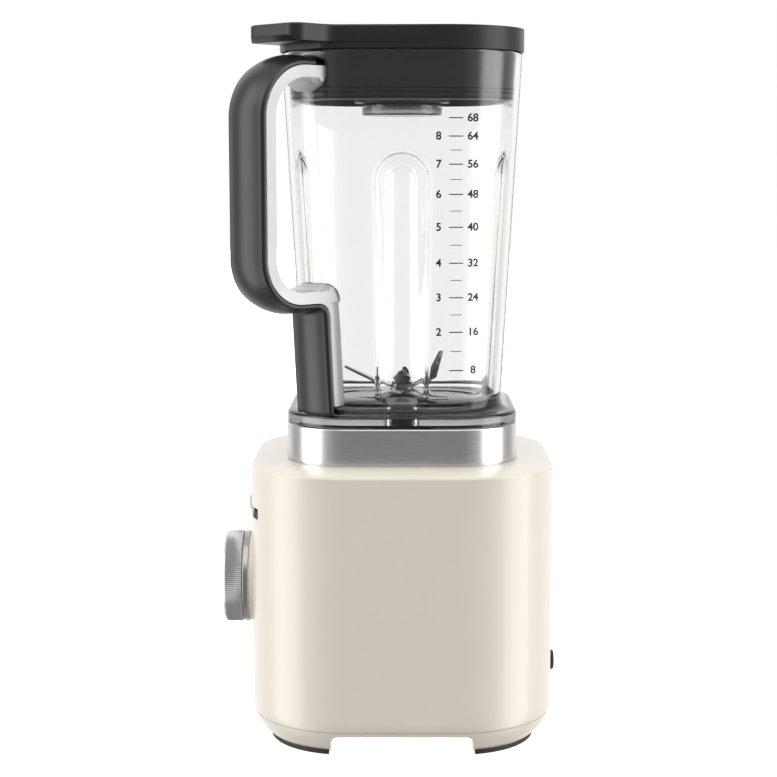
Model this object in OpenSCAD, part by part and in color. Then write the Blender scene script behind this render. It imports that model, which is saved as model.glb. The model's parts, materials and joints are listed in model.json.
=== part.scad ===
// Countertop blender: motor housing, square jar with blades, lid and filler cap.
// Millimetres, +Z up, front (dial) towards -Y, jar handle at the +X -Y corner.
// The origin lies on the surface it stands on, on the motor and blade axis.

/* [Housing] */
// Width of the square motor housing
body_w = 179.2; // [172:0.1:190]
// Corner radius of the housing in plan
body_corner = 57; // [54:0.5:60]
// Height of the housing rim
rim_z = 164.5; // [162:0.5:175]
// Rise of the domed deck from rim to collar
deck_rise = 3.8; // [3:0.1:5]
// Wall of the moulded housing
wall = 3; // [2.4:0.1:3.6]
// Rounding of the rim edge
rim_r = 3; // [2:0.1:4]
// Radius of the tucked-in lower edge
tuck_r = 25; // [24:0.1:26]
// Height where the lower edge starts to tuck in
tuck_z = 23.4; // [22.5:0.1:24]
// Height of the joint between housing and bottom cover
split_z = 16.1; // [15:0.1:17]

/* [Base and feet] */
// Height of the rubber feet
foot_h = 3.4; // [2.8:0.1:4]
// Width of a rubber foot, measured across its band
foot_band = 14; // [11:0.5:16]
// Width of a leg along one side of the base
leg_w = 48.2; // [45:0.1:51]
// Rounding at the top of an arch
arch_r = 5; // [3:0.5:6]
// Thickness of the bottom plate
plate_t = 2.3; // [1.8:0.1:2.8]
// Height of the lip that locates the cover in the housing
lip_h = 5; // [4:0.5:6]
// Number of air slots under the fan
vent_count = 24; // [16:1:30]
// Width of an air slot
vent_w = 3; // [2:0.1:4]

/* [Collar and seat] */
// Width of the metal collar
collar_w = 136.8; // [134:0.1:139]
// Corner radius of the collar
collar_corner = 38.9; // [36:0.1:41]
// Height of the collar
collar_h = 21.8; // [20:0.1:24]
// Wall of the collar
collar_t = 3.5; // [3:0.1:4.5]
// Thickness of the rubber seat pad
pad_t = 4; // [3:0.1:5]
// Radius of the well around the coupling
well_r = 24; // [22:0.5:28]

/* [Dial] */
// Height of the dial axis
dial_z = 88.5; // [84:0.5:94]
// Radius of the dial
dial_r = 27.9; // [25:0.1:30]
// Length of the ribbed grip
dial_len = 11.4; // [9:0.1:14]
// Number of ribs round the grip
dial_ribs = 145; // [100:1:160]
// Thickness of the smooth ring behind the dial
bezel_t = 3.5; // [2.5:0.1:5]
// Projection of the round boss behind the ring
boss_t = 3.8; // [3:0.1:5]
// Radius of the dial spindle
spindle_r = 3; // [2.5:0.1:3.5]

/* [Start lever] */
// Height of the lever's middle
lever_z = 137.9; // [135:0.1:140]
// Width of the lever
lever_w = 112; // [106:1:114]
// Thickness of the lever
lever_t = 4.2; // [3.4:0.1:5]
// Bow of the lever's front edge
lever_bow = 8.4; // [8:0.1:8.6]
// Projection of the lever from the housing face
lever_out = 4; // [3.8:0.1:4.6]
// Tilt of the lever each way
lever_swing = 6; // [4:0.5:7]
// Radius of the lever's pivot pin
lever_pin_r = 1.2; // [1:0.1:1.4]

/* [Jar] */
// Outer width of the jar at its mouth
jar_top_w = 140.7; // [139.5:0.1:142]
// Outer width of the jar just above its foot
jar_foot_w = 117.3; // [115:0.1:120]
// Length from the centre to the centre of a jar corner
jar_c = 25; // [24:0.5:26.5]
// Wall of the jar
jar_wall = 3.5; // [3:0.1:4]
// Height of the jar from its flange to its mouth
jar_h = 215.1; // [205:0.1:230]
// Width of the jar's foot flange
flange_w = 136; // [134:0.1:138]
// Thickness of the flange at its edge
flange_t = 7.5; // [7:0.1:8]
// Rounding of the flange's upper edge
flange_r = 2.4; // [1.5:0.1:3]
// Thickness of the jar floor
floor_t = 8; // [7:0.1:9.5]
// Rounding between the wall and the floor inside
floor_r = 8; // [6:0.5:10]
// Height of the skirt below the flange
skirt_h = 6; // [5:0.1:6.5]
// Radius of the half-round flute in each wall
flute_r = 15; // [13:0.1:16]
// Depth of a flute at its top
flute_depth = 9; // [7:0.1:10]
// Distance from the jar's mouth down to the top of a flute
flute_drop = 60; // [52:0.1:70]

/* [Handle] */
// Distance from the axis to the middle line of the handle
grip_out = 119.9; // [114:0.1:126]
// Distance from the jar's mouth down to the upper handle arm
grip_drop = 8.8; // [8:0.1:14]
// Distance from the flange to the lower handle arm
grip_low = 72.3; // [62:0.1:80]
// Width of the handle
grip_w = 30; // [26:0.5:34]
// Thickness of the soft grip at its edges
grip_t = 4.4; // [3.6:0.1:5]
// Crown of the soft grip
grip_crown = 1.5; // [0.5:0.1:2.4]
// Thickness of the clear handle core
core_t = 7; // [6:0.1:8]
// Bend radius of the handle at the top
bend_top = 30; // [26:0.5:34]
// Bend radius of the handle at the bottom
bend_low = 26; // [22:0.5:30]
// Radius where the lower arm turns down
bend_in = 8; // [7.5:0.1:10]
// Fillet where a clear arm meets the jar wall
root_r = 8; // [5:0.5:10]

/* [Lid and cap] */
// Width of the lid rim
lid_w = 142.4; // [141.5:0.1:145]
// Height of the lid rim
lid_rim_h = 13.2; // [12:0.1:14]
// Depth of the plug below the rim
plug_h = 32.9; // [30:0.1:36]
// Wall of the lid plug
plug_t = 3.5; // [3:0.1:4]
// Distance from the axis to the end of the lid's tongue
tongue_out = 104; // [100:0.1:107]
// Width of the tongue
tongue_w = 42.5; // [38:0.5:46]
// Rounding of the tongue's end corners
tongue_r = 8; // [5:0.5:10]
// Radius of the flare where the tongue leaves the rim
tongue_flare = 14; // [8:0.5:18]
// Thickness of the tongue
tongue_t = 9.8; // [8:0.1:10.6]
// Height of the bevel under the tongue's end
tongue_bevel = 3; // [2:0.1:3.5]
// Outer radius of the filler cap
cap_r = 24; // [22:0.1:26]
// Wall of the filler cap
cap_t = 2.2; // [1.6:0.1:3]
// Radius of the cap's top flange
cap_flange_r = 30; // [28:0.5:32]
// Depth of the cap below the plug
cap_drop = 3.4; // [2:0.1:5]

/* [Blades] */
// Thickness of the blades
blade_t = 1.6; // [1.4:0.1:2]
// Length of the long rising blade
long_blade = 27; // [22:0.5:30]
// Rise of the long blade
long_rise = 25; // [18:1:30]
// Length of the steep blade beyond its bend
steep_blade = 18; // [14:0.5:20]
// Rise of the steep blade
steep_rise = 68; // [60:1:75]
// Length of a middle blade beyond its bend
middle_length = 16; // [12:0.5:18]
// Length of a lower blade beyond its bend
lower_length = 20; // [15:0.5:21]
// Radius of the blade spindle
blade_spindle_r = 4; // [3.5:0.1:4.5]

/* [Motor] */
// Half width of the laminated stator
stator_half = 42; // [40:0.5:44]
// Length of the laminated stack
stack_h = 50; // [44:0.5:52]
// Bore radius of the stator
bore_r = 24.4; // [23:0.1:25]
// Air gap between stator and rotor
air_gap = 0.6; // [0.4:0.1:1]
// Radius of the motor shaft
shaft_r = 4; // [3.5:0.1:4.5]
// Outer radius of the ball bearings
bearing_r = 11; // [10.5:0.1:12]
// Width of the ball bearings
bearing_w = 7; // [6:0.1:8]
// Radius of the cooling fan
fan_r = 36; // [32:0.5:38]
// Number of fan blades
fan_blades = 12; // [8:1:16]

/* [Rear] */
// Height of the cord gland
gland_z = 34.8; // [32:0.1:40]
// Radius of the gland's head
gland_r = 6.2; // [6:0.1:7]
// Radius of the cord bore in the gland
cord_r = 3.6; // [3:0.1:4]
// Projection of the gland from the housing
gland_out = 4.9; // [4:0.1:6]

/* [Clearances] */
// Radial running clearance of shafts and pins
run = 0.05; // [0.02:0.01:0.08]
// Clearance between pieces that are fitted together
fit = 0.2; // [0.15:0.05:0.3]
// Clearance between parts that move apart
part_gap = 0.3; // [0.25:0.05:0.4]

/* [Hidden] */
$fn = 96;

// ---- derived sizes -------------------------------------------------------
eps = 0.01;
body_half = body_w / 2;
body_c = body_half - body_corner;
arch_w = body_w - 2 * leg_w;
arch_top = split_z - plate_t;
far = 2 * body_w;
deck_z = rim_z + deck_rise;
cavity_top = rim_z - wall;
collar_half = collar_w / 2;
collar_c = collar_half - collar_corner;
collar_top = deck_z + collar_h;
seat_z = collar_top - skirt_h - fit;
flange_z = collar_top + fit;
flange_half = flange_w / 2;
face_y = -body_half;
inner_face_y = face_y + wall;
screw_r = 2;

// corner bosses for the cover screws
cover_boss_r = 5.5;
cover_boss_radial = 36;
cover_boss_xy = body_c + cover_boss_radial / sqrt(2);
cover_boss_h = 18;

// control board and its four posts
board_y = face_y + 23.6;
board_t = 1.6;
board_w = 0.446 * body_w;
board_z = [60, rim_z - 12.5];
board_post_r = 4;
board_post_x = board_w / 2 - 6;
board_post_z = [board_z[0] + 5, board_z[1] - 5];
sink_w = 0.6 * board_w;
sink_h = 26;
sink_fin = 8;

// deck opening, collar bosses and cover screws
deck_hole_r = 9;
collar_screw_xy = collar_c + (collar_corner - collar_t - 3.5) / sqrt(2);
collar_boss_h = seat_z - pad_t - deck_z;
cover_head_r = 4;
cover_head_h = 2.6;
cover_head_z = foot_h + 0.6;

// dial, lever and gland
bezel_y = face_y - boss_t;
knob_y = bezel_y - bezel_t - fit;
knob_front_y = knob_y - dial_len;
bush_out_r = spindle_r + 1.5;
lever_axis_y = inner_face_y + 4.2;
slot_half = lever_t / 2 + (lever_axis_y - face_y) * sin(lever_swing) + part_gap;
lever_neck = 0.45 * lever_w;
ear_t = 5;
gland_neck_r = cord_r + 1.4;
gland_nut_r = gland_neck_r + 3.5;
gland_nut_t = 4;

// motor stack, from the deck down
mount_boss_h = 7;
isolator_t = 3;
bracket_t = 5;
mount_xy = 44;
tie_xy = stator_half - 8;
top_bracket_z = cavity_top - mount_boss_h - isolator_t - bracket_t;
coil_end = 9;
stack_top = top_bracket_z - coil_end - 3;
stack_z = stack_top - stack_h;
rotor_r = bore_r - air_gap;
comm_r = 13;
comm_h = 18;
comm_z = stack_z - coil_end - 3 - comm_h;
brush_z = comm_z + comm_h / 2;
holder_half = 6;
bottom_bracket_z = comm_z - 11;
fan_h = 12;
fan_z = bottom_bracket_z - 6 - fan_h;
shaft_bottom = fan_z - 4;
top_bearing_z = top_bracket_z + 1;
bottom_bearing_z = bottom_bracket_z - 2;
shroud_r = fan_r + 5;
drive_z = deck_z + 0.8;
star_h = 7.5;
star_r = 10.5;
star_lobes = 6;
star_lobe_r = 2.2;

// jar, seen from the flange up
floor_z = flange_z + 1.2;
floor_top = floor_z + floor_t;
jar_top = flange_z + jar_h;
foot_ref_z = floor_top;
taper = (jar_top_w - jar_foot_w) / 2 / (jar_top - foot_ref_z);
flute_offset = flute_r - flute_depth;
flute_end_z = jar_top - flute_drop - sqrt(pow(flute_r, 2) - pow(flute_offset, 2));
hub_r = 12;
hub_flange_r = 15;
hub_flange_t = 2.2;
hub_top = floor_top + hub_flange_t;
hub_bottom = deck_z + 11.5;
bush_r = 7;
bush_fit = 0.03;

// lid
lid_z = jar_top + part_gap;
lid_top = lid_z + lid_rim_h;
plug_z = lid_z - plug_h;
gasket_z = plug_z + 4.4;
gasket_h = 8;
gasket_groove = 1.2;
cap_bore_r = cap_r + part_gap + cap_t / 2;
cap_flange_t = 3;

// blades
stack0 = hub_top + 2.4;
blade_hub_r = 9;
blade_root = 5;
hub_step = 0.1;
wing_t = blade_t - 2 * hub_step;

function jar_half(z) = jar_foot_w / 2 + taper * (z - foot_ref_z);
function jar_rho(z) = jar_c * sqrt(2) + jar_half(z) - jar_c;
function tuck_x(z) = body_corner - tuck_r + sqrt(pow(tuck_r, 2) - pow(tuck_z - z, 2));
function arc(cx, cz, r, a0, a1, n) =
  [for (i = [0 : n]) let (a = a0 + (a1 - a0) * i / n) [cx + r * cos(a), cz + r * sin(a)]];

// handle: heights of the arms, and the height where the soft grip ends
upper_z = jar_top - grip_drop;
lower_z = flange_z + grip_low;
grip_foot_z = flange_z + flange_t + part_gap;
back_gap = 1.2;
arm_rho = jar_rho(lower_z) + back_gap;
core_foot_z = floor_top + 3;
steps = 8;

// Rings of the soft grip: [outward, up, normal outward, normal up]
grip_path = concat(
  [[jar_rho(upper_z) + 2.6, upper_z, 0, 1]],
  [for (i = [0 : steps]) let (a = 90 - 90 * i / steps)
    [grip_out - bend_top + bend_top * cos(a), upper_z - bend_top + bend_top * sin(a), cos(a), sin(a)]],
  [for (i = [0 : steps]) let (a = -90 * i / steps)
    [grip_out - bend_low + bend_low * cos(a), lower_z + bend_low + bend_low * sin(a), cos(a), sin(a)]],
  [for (i = [0 : steps]) let (a = 90 + 90 * i / steps)
    [arm_rho + bend_in + bend_in * cos(a), lower_z - bend_in + bend_in * sin(a), -cos(a), -sin(a)]],
  [[jar_rho(grip_foot_z) + back_gap, grip_foot_z, 1, 0]]
);

// Section of the soft grip: [across, outward] from the flat back over the rounded crown
grip_edge = 2.4;
grip_section = let (h = grip_w / 2, m = h - grip_edge) concat(
  [[-h, 0]],
  [for (i = [0 : 3]) let (a = 180 - 30 * i) [-m + grip_edge * cos(a), grip_t - grip_edge + grip_edge * sin(a)]],
  [for (i = [1 : 5]) let (x = -m + 2 * m * i / 6) [x, grip_t + grip_crown * (1 - pow(x / m, 2))]],
  [for (i = [0 : 3]) let (a = 90 - 30 * i) [m + grip_edge * cos(a), grip_t - grip_edge + grip_edge * sin(a)]],
  [[h, 0]]
);

// ---- shared shapes -------------------------------------------------------

// Carries a section (x outward from the corner centre, y up) round a square with round corners
module swept(c) {
  for (k = [0 : 3]) rotate([0, 0, 90 * k]) {
    translate([c, c, 0]) rotate_extrude(angle = 90) children();
    translate([c, c, 0]) rotate([90, 0, 0]) linear_extrude(2 * c) children();
  }
}

// Fills the square between the corner centres of a swept section
module core_block(c, z0, z1) {
  translate([-c, -c, z0]) cube([2 * c, 2 * c, z1 - z0]);
}

module rounded_square(half, r) {
  square([2 * half, 2 * (half - r)], center = true);
  square([2 * (half - r), 2 * half], center = true);
  for (x = [-1, 1], y = [-1, 1]) translate([x * (half - r), y * (half - r)]) circle(r);
}

module slab(half, r, z0, z1) {
  translate([0, 0, z0]) linear_extrude(z1 - z0) rounded_square(half, r);
}

module at_corners(xy) {
  for (x = [-1, 1], y = [-1, 1]) translate([x * xy, y * xy, 0]) children();
}

module tube(r_out, r_in, z0, z1) {
  translate([0, 0, z0]) difference() {
    cylinder(r = r_out, h = z1 - z0);
    translate([0, 0, -1]) cylinder(r = r_in, h = z1 - z0 + 2);
  }
}

// A rod along Y from y0 to y1 at height z
module rod_y(r, y0, y1, z, x = 0) {
  translate([x, y1, z]) rotate([90, 0, 0]) cylinder(r = r, h = y1 - y0);
}

// A screw that points up: head at z0, thread up to z1
module screw_up(r, head_r, head_h, z0, z1) {
  difference() {
    union() {
      translate([0, 0, z0]) cylinder(r = head_r, h = head_h);
      translate([0, 0, z0]) cylinder(r = r, h = z1 - z0);
    }
    for (a = [0, 90]) rotate([0, 0, a]) translate([-head_r * 0.6, -0.5, z0 - 1])
      cube([head_r * 1.2, 1, 1.9]);
  }
}

// ---- housing -------------------------------------------------------------

// Side outline of housing and cover between two heights
module side_section(z0, z1) {
  intersection() {
    translate([0, z0]) square([body_corner, z1 - z0]);
    union() {
      translate([body_corner - tuck_r, tuck_z]) circle(tuck_r);
      translate([0, tuck_z]) square([body_corner, z1]);
      square([body_corner - tuck_r, tuck_z]);
    }
  }
}

// Domed deck with a rounded rim, drawn with two tangent arcs
module deck_section() {
  flat_x = collar_half + 3.2 - body_c;
  run_x = body_corner - flat_x;
  dome_r = (pow(run_x, 2) + pow(deck_rise, 2)) / (2 * deck_rise);
  dx = run_x - rim_r;
  dz = sqrt(pow(dome_r - rim_r, 2) - pow(dx, 2));
  dome_z = deck_z - dome_r;
  side_section(split_z, dome_z + dz);
  square_top = dome_z + dz;
  translate([0, split_z]) square([flat_x, deck_z - split_z]);
  translate([body_corner - rim_r, square_top]) circle(rim_r);
  intersection() {
    translate([flat_x, dome_z]) circle(dome_r);
    polygon([[flat_x, dome_z], [flat_x, deck_z + 1], [flat_x + dx * 1.2, dome_z + dz * 1.2]]);
  }
}

module housing_shell() {
  difference() {
    union() {
      swept(body_c) deck_section();
      core_block(body_c, split_z, deck_z);
      rod_y(dial_r - 0.5, face_y - boss_t, face_y + 1, dial_z);
    }
    slab(body_half - wall, body_corner - wall, split_z - 1, cavity_top);
  }
}

module housing() {
  color("ivory") difference() {
    union() {
      housing_shell();
      // bosses that take the cover screws, each on a rib from the corner wall
      at_corners(cover_boss_xy) translate([0, 0, split_z]) cylinder(r = cover_boss_r, h = cover_boss_h);
      for (k = [0 : 3]) rotate([0, 0, 90 * k]) translate([body_c, body_c, split_z + lip_h + 1])
        rotate([0, 0, 45]) translate([cover_boss_radial, -1, 0])
          cube([body_corner - wall + 1 - cover_boss_radial, 2, cover_boss_h - lip_h - 1]);
      // bosses that carry the motor
      at_corners(mount_xy) translate([0, 0, cavity_top - mount_boss_h])
        cylinder(r = 7, h = mount_boss_h + 1);
      // posts that carry the control board
      for (x = [-1, 1], z = board_post_z)
        rod_y(board_post_r, inner_face_y - 1, board_y, z, x * board_post_x);
    }
    // shaft opening in the deck
    translate([0, 0, cavity_top - 1]) cylinder(r = deck_hole_r, h = deck_z);
    // screw holes
    at_corners(cover_boss_xy) translate([0, 0, split_z - 1]) cylinder(r = screw_r + run, h = 16);
    at_corners(mount_xy) translate([0, 0, cavity_top - mount_boss_h - 1])
      cylinder(r = screw_r + run, h = mount_boss_h + 3);
    at_corners(collar_screw_xy) translate([0, 0, cavity_top - 1]) cylinder(r = screw_r + fit, h = 20);
    for (x = [-1, 1], z = board_post_z)
      rod_y(screw_r + run, board_y - 10, board_y + 1, z, x * board_post_x);
    // dial bush, lever slot and cord gland
    rod_y(bush_out_r + run, face_y - boss_t - 1, inner_face_y + 1, dial_z);
    translate([-lever_w / 2 - part_gap, face_y - 1, lever_z - slot_half])
      cube([lever_w + 2 * part_gap, wall + 8, 2 * slot_half]);
    rod_y(gland_neck_r + run, body_half - wall - 1, body_half + 1, gland_z);
  }
}

module bottom_cover() {
  lip_half = body_half - wall - fit;
  lip_corner = body_corner - wall - fit;
  color("ivory") difference() {
    union() {
      difference() {
        union() {
          swept(body_c) side_section(foot_h, split_z);
          core_block(body_c, foot_h, split_z);
        }
        // hollow inside the ring of legs
        slab(body_c + 26, 26, foot_h - 1, arch_top);
        // arches between the legs
        for (a = [0, 90]) rotate([0, 0, a]) translate([0, body_w, 0]) rotate([90, 0, 0])
          linear_extrude(2 * body_w) arch_outline();
      }
      difference() {
        slab(lip_half, lip_corner, split_z - eps, split_z + lip_h);
        slab(lip_half - 2, lip_corner - 2, split_z - 1, split_z + lip_h + 1);
      }
    }
    at_corners(cover_boss_xy) {
      cylinder(r = screw_r + fit, h = split_z + 1);
      cylinder(r = cover_head_r + fit, h = cover_head_z + cover_head_h);
    }
    // air slots in two rings
    for (i = [0 : vent_count - 1]) rotate([0, 0, 360 * (i + 0.5) / vent_count]) {
      vent_slot(18, fan_r - 1);
      vent_slot(shroud_r + 5, shroud_r + 19);
    }
  }
}

module arch_outline() {
  top = arch_top;
  translate([-arch_w / 2, 0]) square([arch_w, top - arch_r]);
  translate([-arch_w / 2 + arch_r, 0]) square([arch_w - 2 * arch_r, top]);
  for (s = [-1, 1]) translate([s * (arch_w / 2 - arch_r), top - arch_r]) circle(arch_r);
}

module vent_slot(r0, r1) {
  translate([r0, -vent_w / 2, arch_top - 1]) cube([r1 - r0, vent_w, plate_t + 2]);
  for (r = [r0, r1]) translate([r, 0, arch_top - 1]) cylinder(d = vent_w, h = plate_t + 2);
}

module rubber_feet() {
  foot_x = tuck_x(foot_h) - 0.4;
  end = arch_w / 2 + 1.2;
  color("dimgray") intersection() {
    swept(body_c) difference() {
      translate([foot_x - foot_band, 0]) square([foot_band, foot_h]);
      // rounded outer lower edge
      difference() {
        translate([foot_x - 1.2, 0]) square(1.3);
        translate([foot_x - 1.2, 1.2]) circle(1.2);
      }
    }
    for (x = [-1, 1], y = [-1, 1])
      translate([x > 0 ? end : -end - 60, y > 0 ? end : -end - 60, -1]) cube([60, 60, foot_h + 2]);
  }
}

module cover_screws() {
  color("silver") at_corners(cover_boss_xy)
    screw_up(screw_r, cover_head_r, cover_head_h, cover_head_z, split_z + 13);
}

// ---- collar and seat -----------------------------------------------------

module collar() {
  inner_half = collar_half - collar_t;
  inner_corner = collar_corner - collar_t;
  color("silver") difference() {
    union() {
      difference() {
        swept(collar_c) translate([0, deck_z]) {
          square([collar_corner, collar_h - 1]);
          square([collar_corner - 1, collar_h]);
          translate([collar_corner - 1, collar_h - 1]) circle(1);
        }
        slab(inner_half, inner_corner, deck_z - 1, collar_top + 1);
      }
      at_corners(collar_screw_xy) translate([0, 0, deck_z]) cylinder(r = 4.5, h = collar_boss_h);
    }
    at_corners(collar_screw_xy) translate([0, 0, deck_z - 1]) cylinder(r = screw_r + run, h = collar_boss_h);
  }
}

module collar_screws() {
  color("silver") at_corners(collar_screw_xy)
    screw_up(screw_r, 4, 2.4, cavity_top - 2.4, deck_z + collar_boss_h - 2.5);
}

module seat_pad() {
  color("dimgray") difference() {
    union() {
      slab(collar_half - collar_t - fit, collar_corner - collar_t - fit, seat_z - pad_t, seat_z);
      translate([0, 0, deck_z]) cylinder(r = well_r + 6, h = seat_z - deck_z);
    }
    translate([0, 0, deck_z - 1]) cylinder(r = well_r, h = collar_h);
  }
}

// ---- dial and its switch -------------------------------------------------

module dial_bezel() {
  color("silver") difference() {
    rod_y(dial_r, bezel_y - bezel_t, bezel_y, dial_z);
    rod_y(dial_r - 8, bezel_y - bezel_t - 1, bezel_y + 1, dial_z);
  }
}

module dial_knob() {
  color("silver") difference() {
    union() {
      translate([0, knob_y, dial_z]) rotate([90, 0, 0]) linear_extrude(dial_len - 1)
        polygon([for (i = [0 : 2 * dial_ribs - 1]) let (a = 180 * i / dial_ribs,
          r = dial_r - (i % 2) * 0.5) [r * cos(a), r * sin(a)]]);
      rod_y(dial_r - 1, knob_front_y, knob_y, dial_z);
    }
    // shallow dish for the face plate
    rod_y(dial_r - 3, knob_front_y - 1, knob_front_y + 1.4, dial_z);
    // hollow back round the hub
    difference() {
      rod_y(dial_r - 4, knob_y - 7, knob_y + 1, dial_z);
      rod_y(8, knob_y - 8, knob_y + 2, dial_z);
    }
    rod_y(spindle_r + run, knob_front_y + 3, knob_y + 1, dial_z);
  }
}

module dial_face() {
  color("gainsboro") difference() {
    rod_y(dial_r - 3 - run, knob_front_y + 0.3, knob_front_y + 1.4, dial_z);
    // pointer groove
    translate([-0.8, knob_front_y - 1, dial_z + dial_r - 13]) cube([1.6, 1.8, 8]);
  }
}

module dial_spindle() {
  color("silver") rod_y(spindle_r, knob_front_y + 3.1, face_y + 19.6, dial_z);
}

module dial_bush() {
  color("goldenrod") difference() {
    rod_y(bush_out_r, bezel_y + 0.4, face_y + 9.6, dial_z);
    rod_y(spindle_r + run, bezel_y - 1, face_y + 20, dial_z);
  }
}

module speed_switch() {
  y0 = face_y + 9.6;
  color("steelblue") difference() {
    translate([-13, y0, dial_z - 13]) cube([26, board_y - y0, 26]);
    rod_y(spindle_r + run, y0 - 1, y0 + 11, dial_z);
  }
}

module control_board() {
  color("seagreen") difference() {
    translate([-board_w / 2, board_y, board_z[0]]) cube([board_w, board_t, board_z[1] - board_z[0]]);
    for (x = [-1, 1], z = board_post_z)
      rod_y(screw_r + fit, board_y - 1, board_y + board_t + 1, z, x * board_post_x);
  }
}

module board_screws() {
  color("silver") for (x = [-1, 1], z = board_post_z) {
    rod_y(screw_r, board_y - 9, board_y + board_t, z, x * board_post_x);
    rod_y(3.6, board_y + board_t, board_y + board_t + 2, z, x * board_post_x);
  }
}

module heat_sink() {
  color("silver") translate([-sink_w / 2, board_y + board_t, board_z[0] + 14]) {
    cube([sink_w, 2, sink_h]);
    for (i = [0 : 6]) translate([i * (sink_w - 2) / 6, 0, 0]) cube([2, sink_fin, sink_h]);
  }
}

module noise_capacitor() {
  color("khaki") translate([-13, board_y + board_t, board_z[0] + 56]) cube([26, 8, 18]);
}

// ---- start lever ---------------------------------------------------------

// Plan outline: a bowed front edge and a straight back with a gap for each bracket ear
module lever_outline() {
  half = lever_w / 2;
  bow_r = (pow(half, 2) + pow(lever_bow, 2)) / (2 * lever_bow);
  front_y = face_y - lever_out;
  difference() {
    intersection() {
      translate([0, front_y + bow_r]) circle(bow_r, $fn = 360);
      translate([-half, front_y]) square([lever_w, lever_axis_y - front_y]);
    }
    // gaps for the two ears of the bracket
    for (s = [-1, 1]) translate([s * (lever_neck + ear_t) / 2 + s * part_gap, inner_face_y + ear_t - 1.2])
      square([ear_t + 2 * part_gap, 2 * ear_t], center = true);
  }
}

module start_lever() {
  color("silver") difference() {
    union() {
      translate([0, 0, lever_z - lever_t / 2]) linear_extrude(lever_t) lever_outline();
      translate([-lever_neck / 2, lever_axis_y, lever_z]) rotate([0, 90, 0])
        cylinder(r = lever_pin_r + 1.4, h = lever_neck);
      translate([-6, lever_axis_y, lever_z - 0.8]) cube([12, 7, 1.6]);
    }
    translate([-lever_neck / 2 - 1, lever_axis_y, lever_z]) rotate([0, 90, 0])
      cylinder(r = lever_pin_r + 0.02, h = lever_neck + 2);
  }
}

module lever_pin() {
  color("silver") translate([-lever_neck / 2 - 5.5, lever_axis_y, lever_z]) rotate([0, 90, 0])
    cylinder(r = lever_pin_r, h = lever_neck + 11);
}

module lever_bracket() {
  ear = lever_neck / 2 + part_gap;
  color("dimgray") difference() {
    union() {
      for (s = [-1, 1]) translate([s > 0 ? ear : -ear - ear_t, inner_face_y, lever_z - 4.5])
        cube([ear_t, board_y - inner_face_y, 9]);
      translate([-ear, board_y - 3, lever_z - 4.5]) cube([2 * ear, 3, 9]);
    }
    translate([-lever_w / 2, lever_axis_y, lever_z]) rotate([0, 90, 0]) cylinder(r = lever_pin_r + run, h = lever_w);
  }
}

module lever_switches() {
  tail_z = 0.8 + 7 * sin(lever_swing) + 0.5;
  color("steelblue") for (s = [-1, 1])
    translate([-5, lever_axis_y + 4, s > 0 ? lever_z + tail_z : lever_z - tail_z - 3])
      cube([10, board_y - 3 - lever_axis_y - 4, 3]);
}

// ---- cord gland ----------------------------------------------------------

module cord_gland() {
  color("dimgray") difference() {
    translate([0, body_half, gland_z]) rotate([-90, 0, 0]) rotate_extrude() {
      square([gland_r - 1.5, gland_out]);
      square([gland_r, gland_out - 1.5]);
      translate([gland_r - 1.5, gland_out - 1.5]) circle(1.5);
      translate([0, -wall - 7]) square([gland_neck_r, wall + 7]);
    }
    rod_y(cord_r, body_half - 30, body_half + 20, gland_z);
  }
}

module gland_nut() {
  color("dimgray") difference() {
    translate([0, body_half - wall, gland_z]) rotate([90, 0, 0]) cylinder(r = gland_nut_r, h = gland_nut_t, $fn = 6);
    rod_y(gland_neck_r + run, body_half - 20, body_half, gland_z);
  }
}

// ---- motor ---------------------------------------------------------------

module motor_top_bracket() {
  z0 = top_bracket_z;
  color("lightgray") difference() {
    union() {
      difference() {
        slab(mount_xy + 8, 12, z0, z0 + bracket_t);
        // openings that leave a hub and four arms
        for (a = [0 : 90 : 270]) rotate([0, 0, a]) translate([33, 0, z0 - 1]) cylinder(r = 14, h = bracket_t + 2);
      }
      translate([0, 0, z0]) cylinder(r = bearing_r + 4, h = bearing_w + 1);
      at_corners(tie_xy) translate([0, 0, stack_top]) cylinder(r = 5.5, h = z0 - stack_top + 1);
    }
    translate([0, 0, top_bearing_z]) cylinder(r = bearing_r + run, h = 20);
    translate([0, 0, z0 - 1]) cylinder(r = bearing_r - 3, h = 20);
    at_corners(mount_xy) translate([0, 0, z0 - 1]) cylinder(r = screw_r + fit, h = bracket_t + 2);
    at_corners(tie_xy) translate([0, 0, stack_top - 1]) cylinder(r = screw_r + run, h = 20);
  }
}

module motor_bottom_bracket() {
  z0 = bottom_bracket_z;
  color("lightgray") difference() {
    union() {
      translate([0, 0, z0]) linear_extrude(bracket_t) difference() {
        union() {
          circle(38);
          for (a = [45, 135]) rotate(a) square([2 * tie_xy * sqrt(2), 9], center = true);
        }
        // openings for the cooling air
        for (x = [-26.5, 26.5]) translate([x, 0]) circle(8);
      }
      at_corners(tie_xy) translate([0, 0, z0]) cylinder(r = 6, h = stack_z - z0);
      translate([0, 0, bottom_bearing_z - 1]) cylinder(r = bearing_r + 4, h = bearing_w + 1);
      // uprights that carry the brush holders
      for (s = [-1, 1]) translate([-6, s * 31 - 3, z0 + 1]) cube([12, 6, brush_z - holder_half - z0 - 1]);
    }
    translate([0, 0, bottom_bearing_z]) cylinder(r = bearing_r + run, h = 20);
    translate([0, 0, z0 - 20]) cylinder(r = bearing_r - 3, h = 40);
    at_corners(tie_xy) translate([0, 0, z0 - 1]) cylinder(r = screw_r + fit, h = 80);
  }
}

module stator_core() {
  color("slategray") translate([0, 0, stack_z]) linear_extrude(stack_h) difference() {
    rounded_square(stator_half, 8);
    circle(bore_r);
    // slots on both sides of the two poles
    intersection() {
      circle(stator_half - 8);
      square([2 * stator_half, stator_half * 0.96], center = true);
    }
    for (x = [-1, 1], y = [-1, 1]) translate([x * tie_xy, y * tie_xy]) circle(screw_r + run);
  }
}

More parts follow.
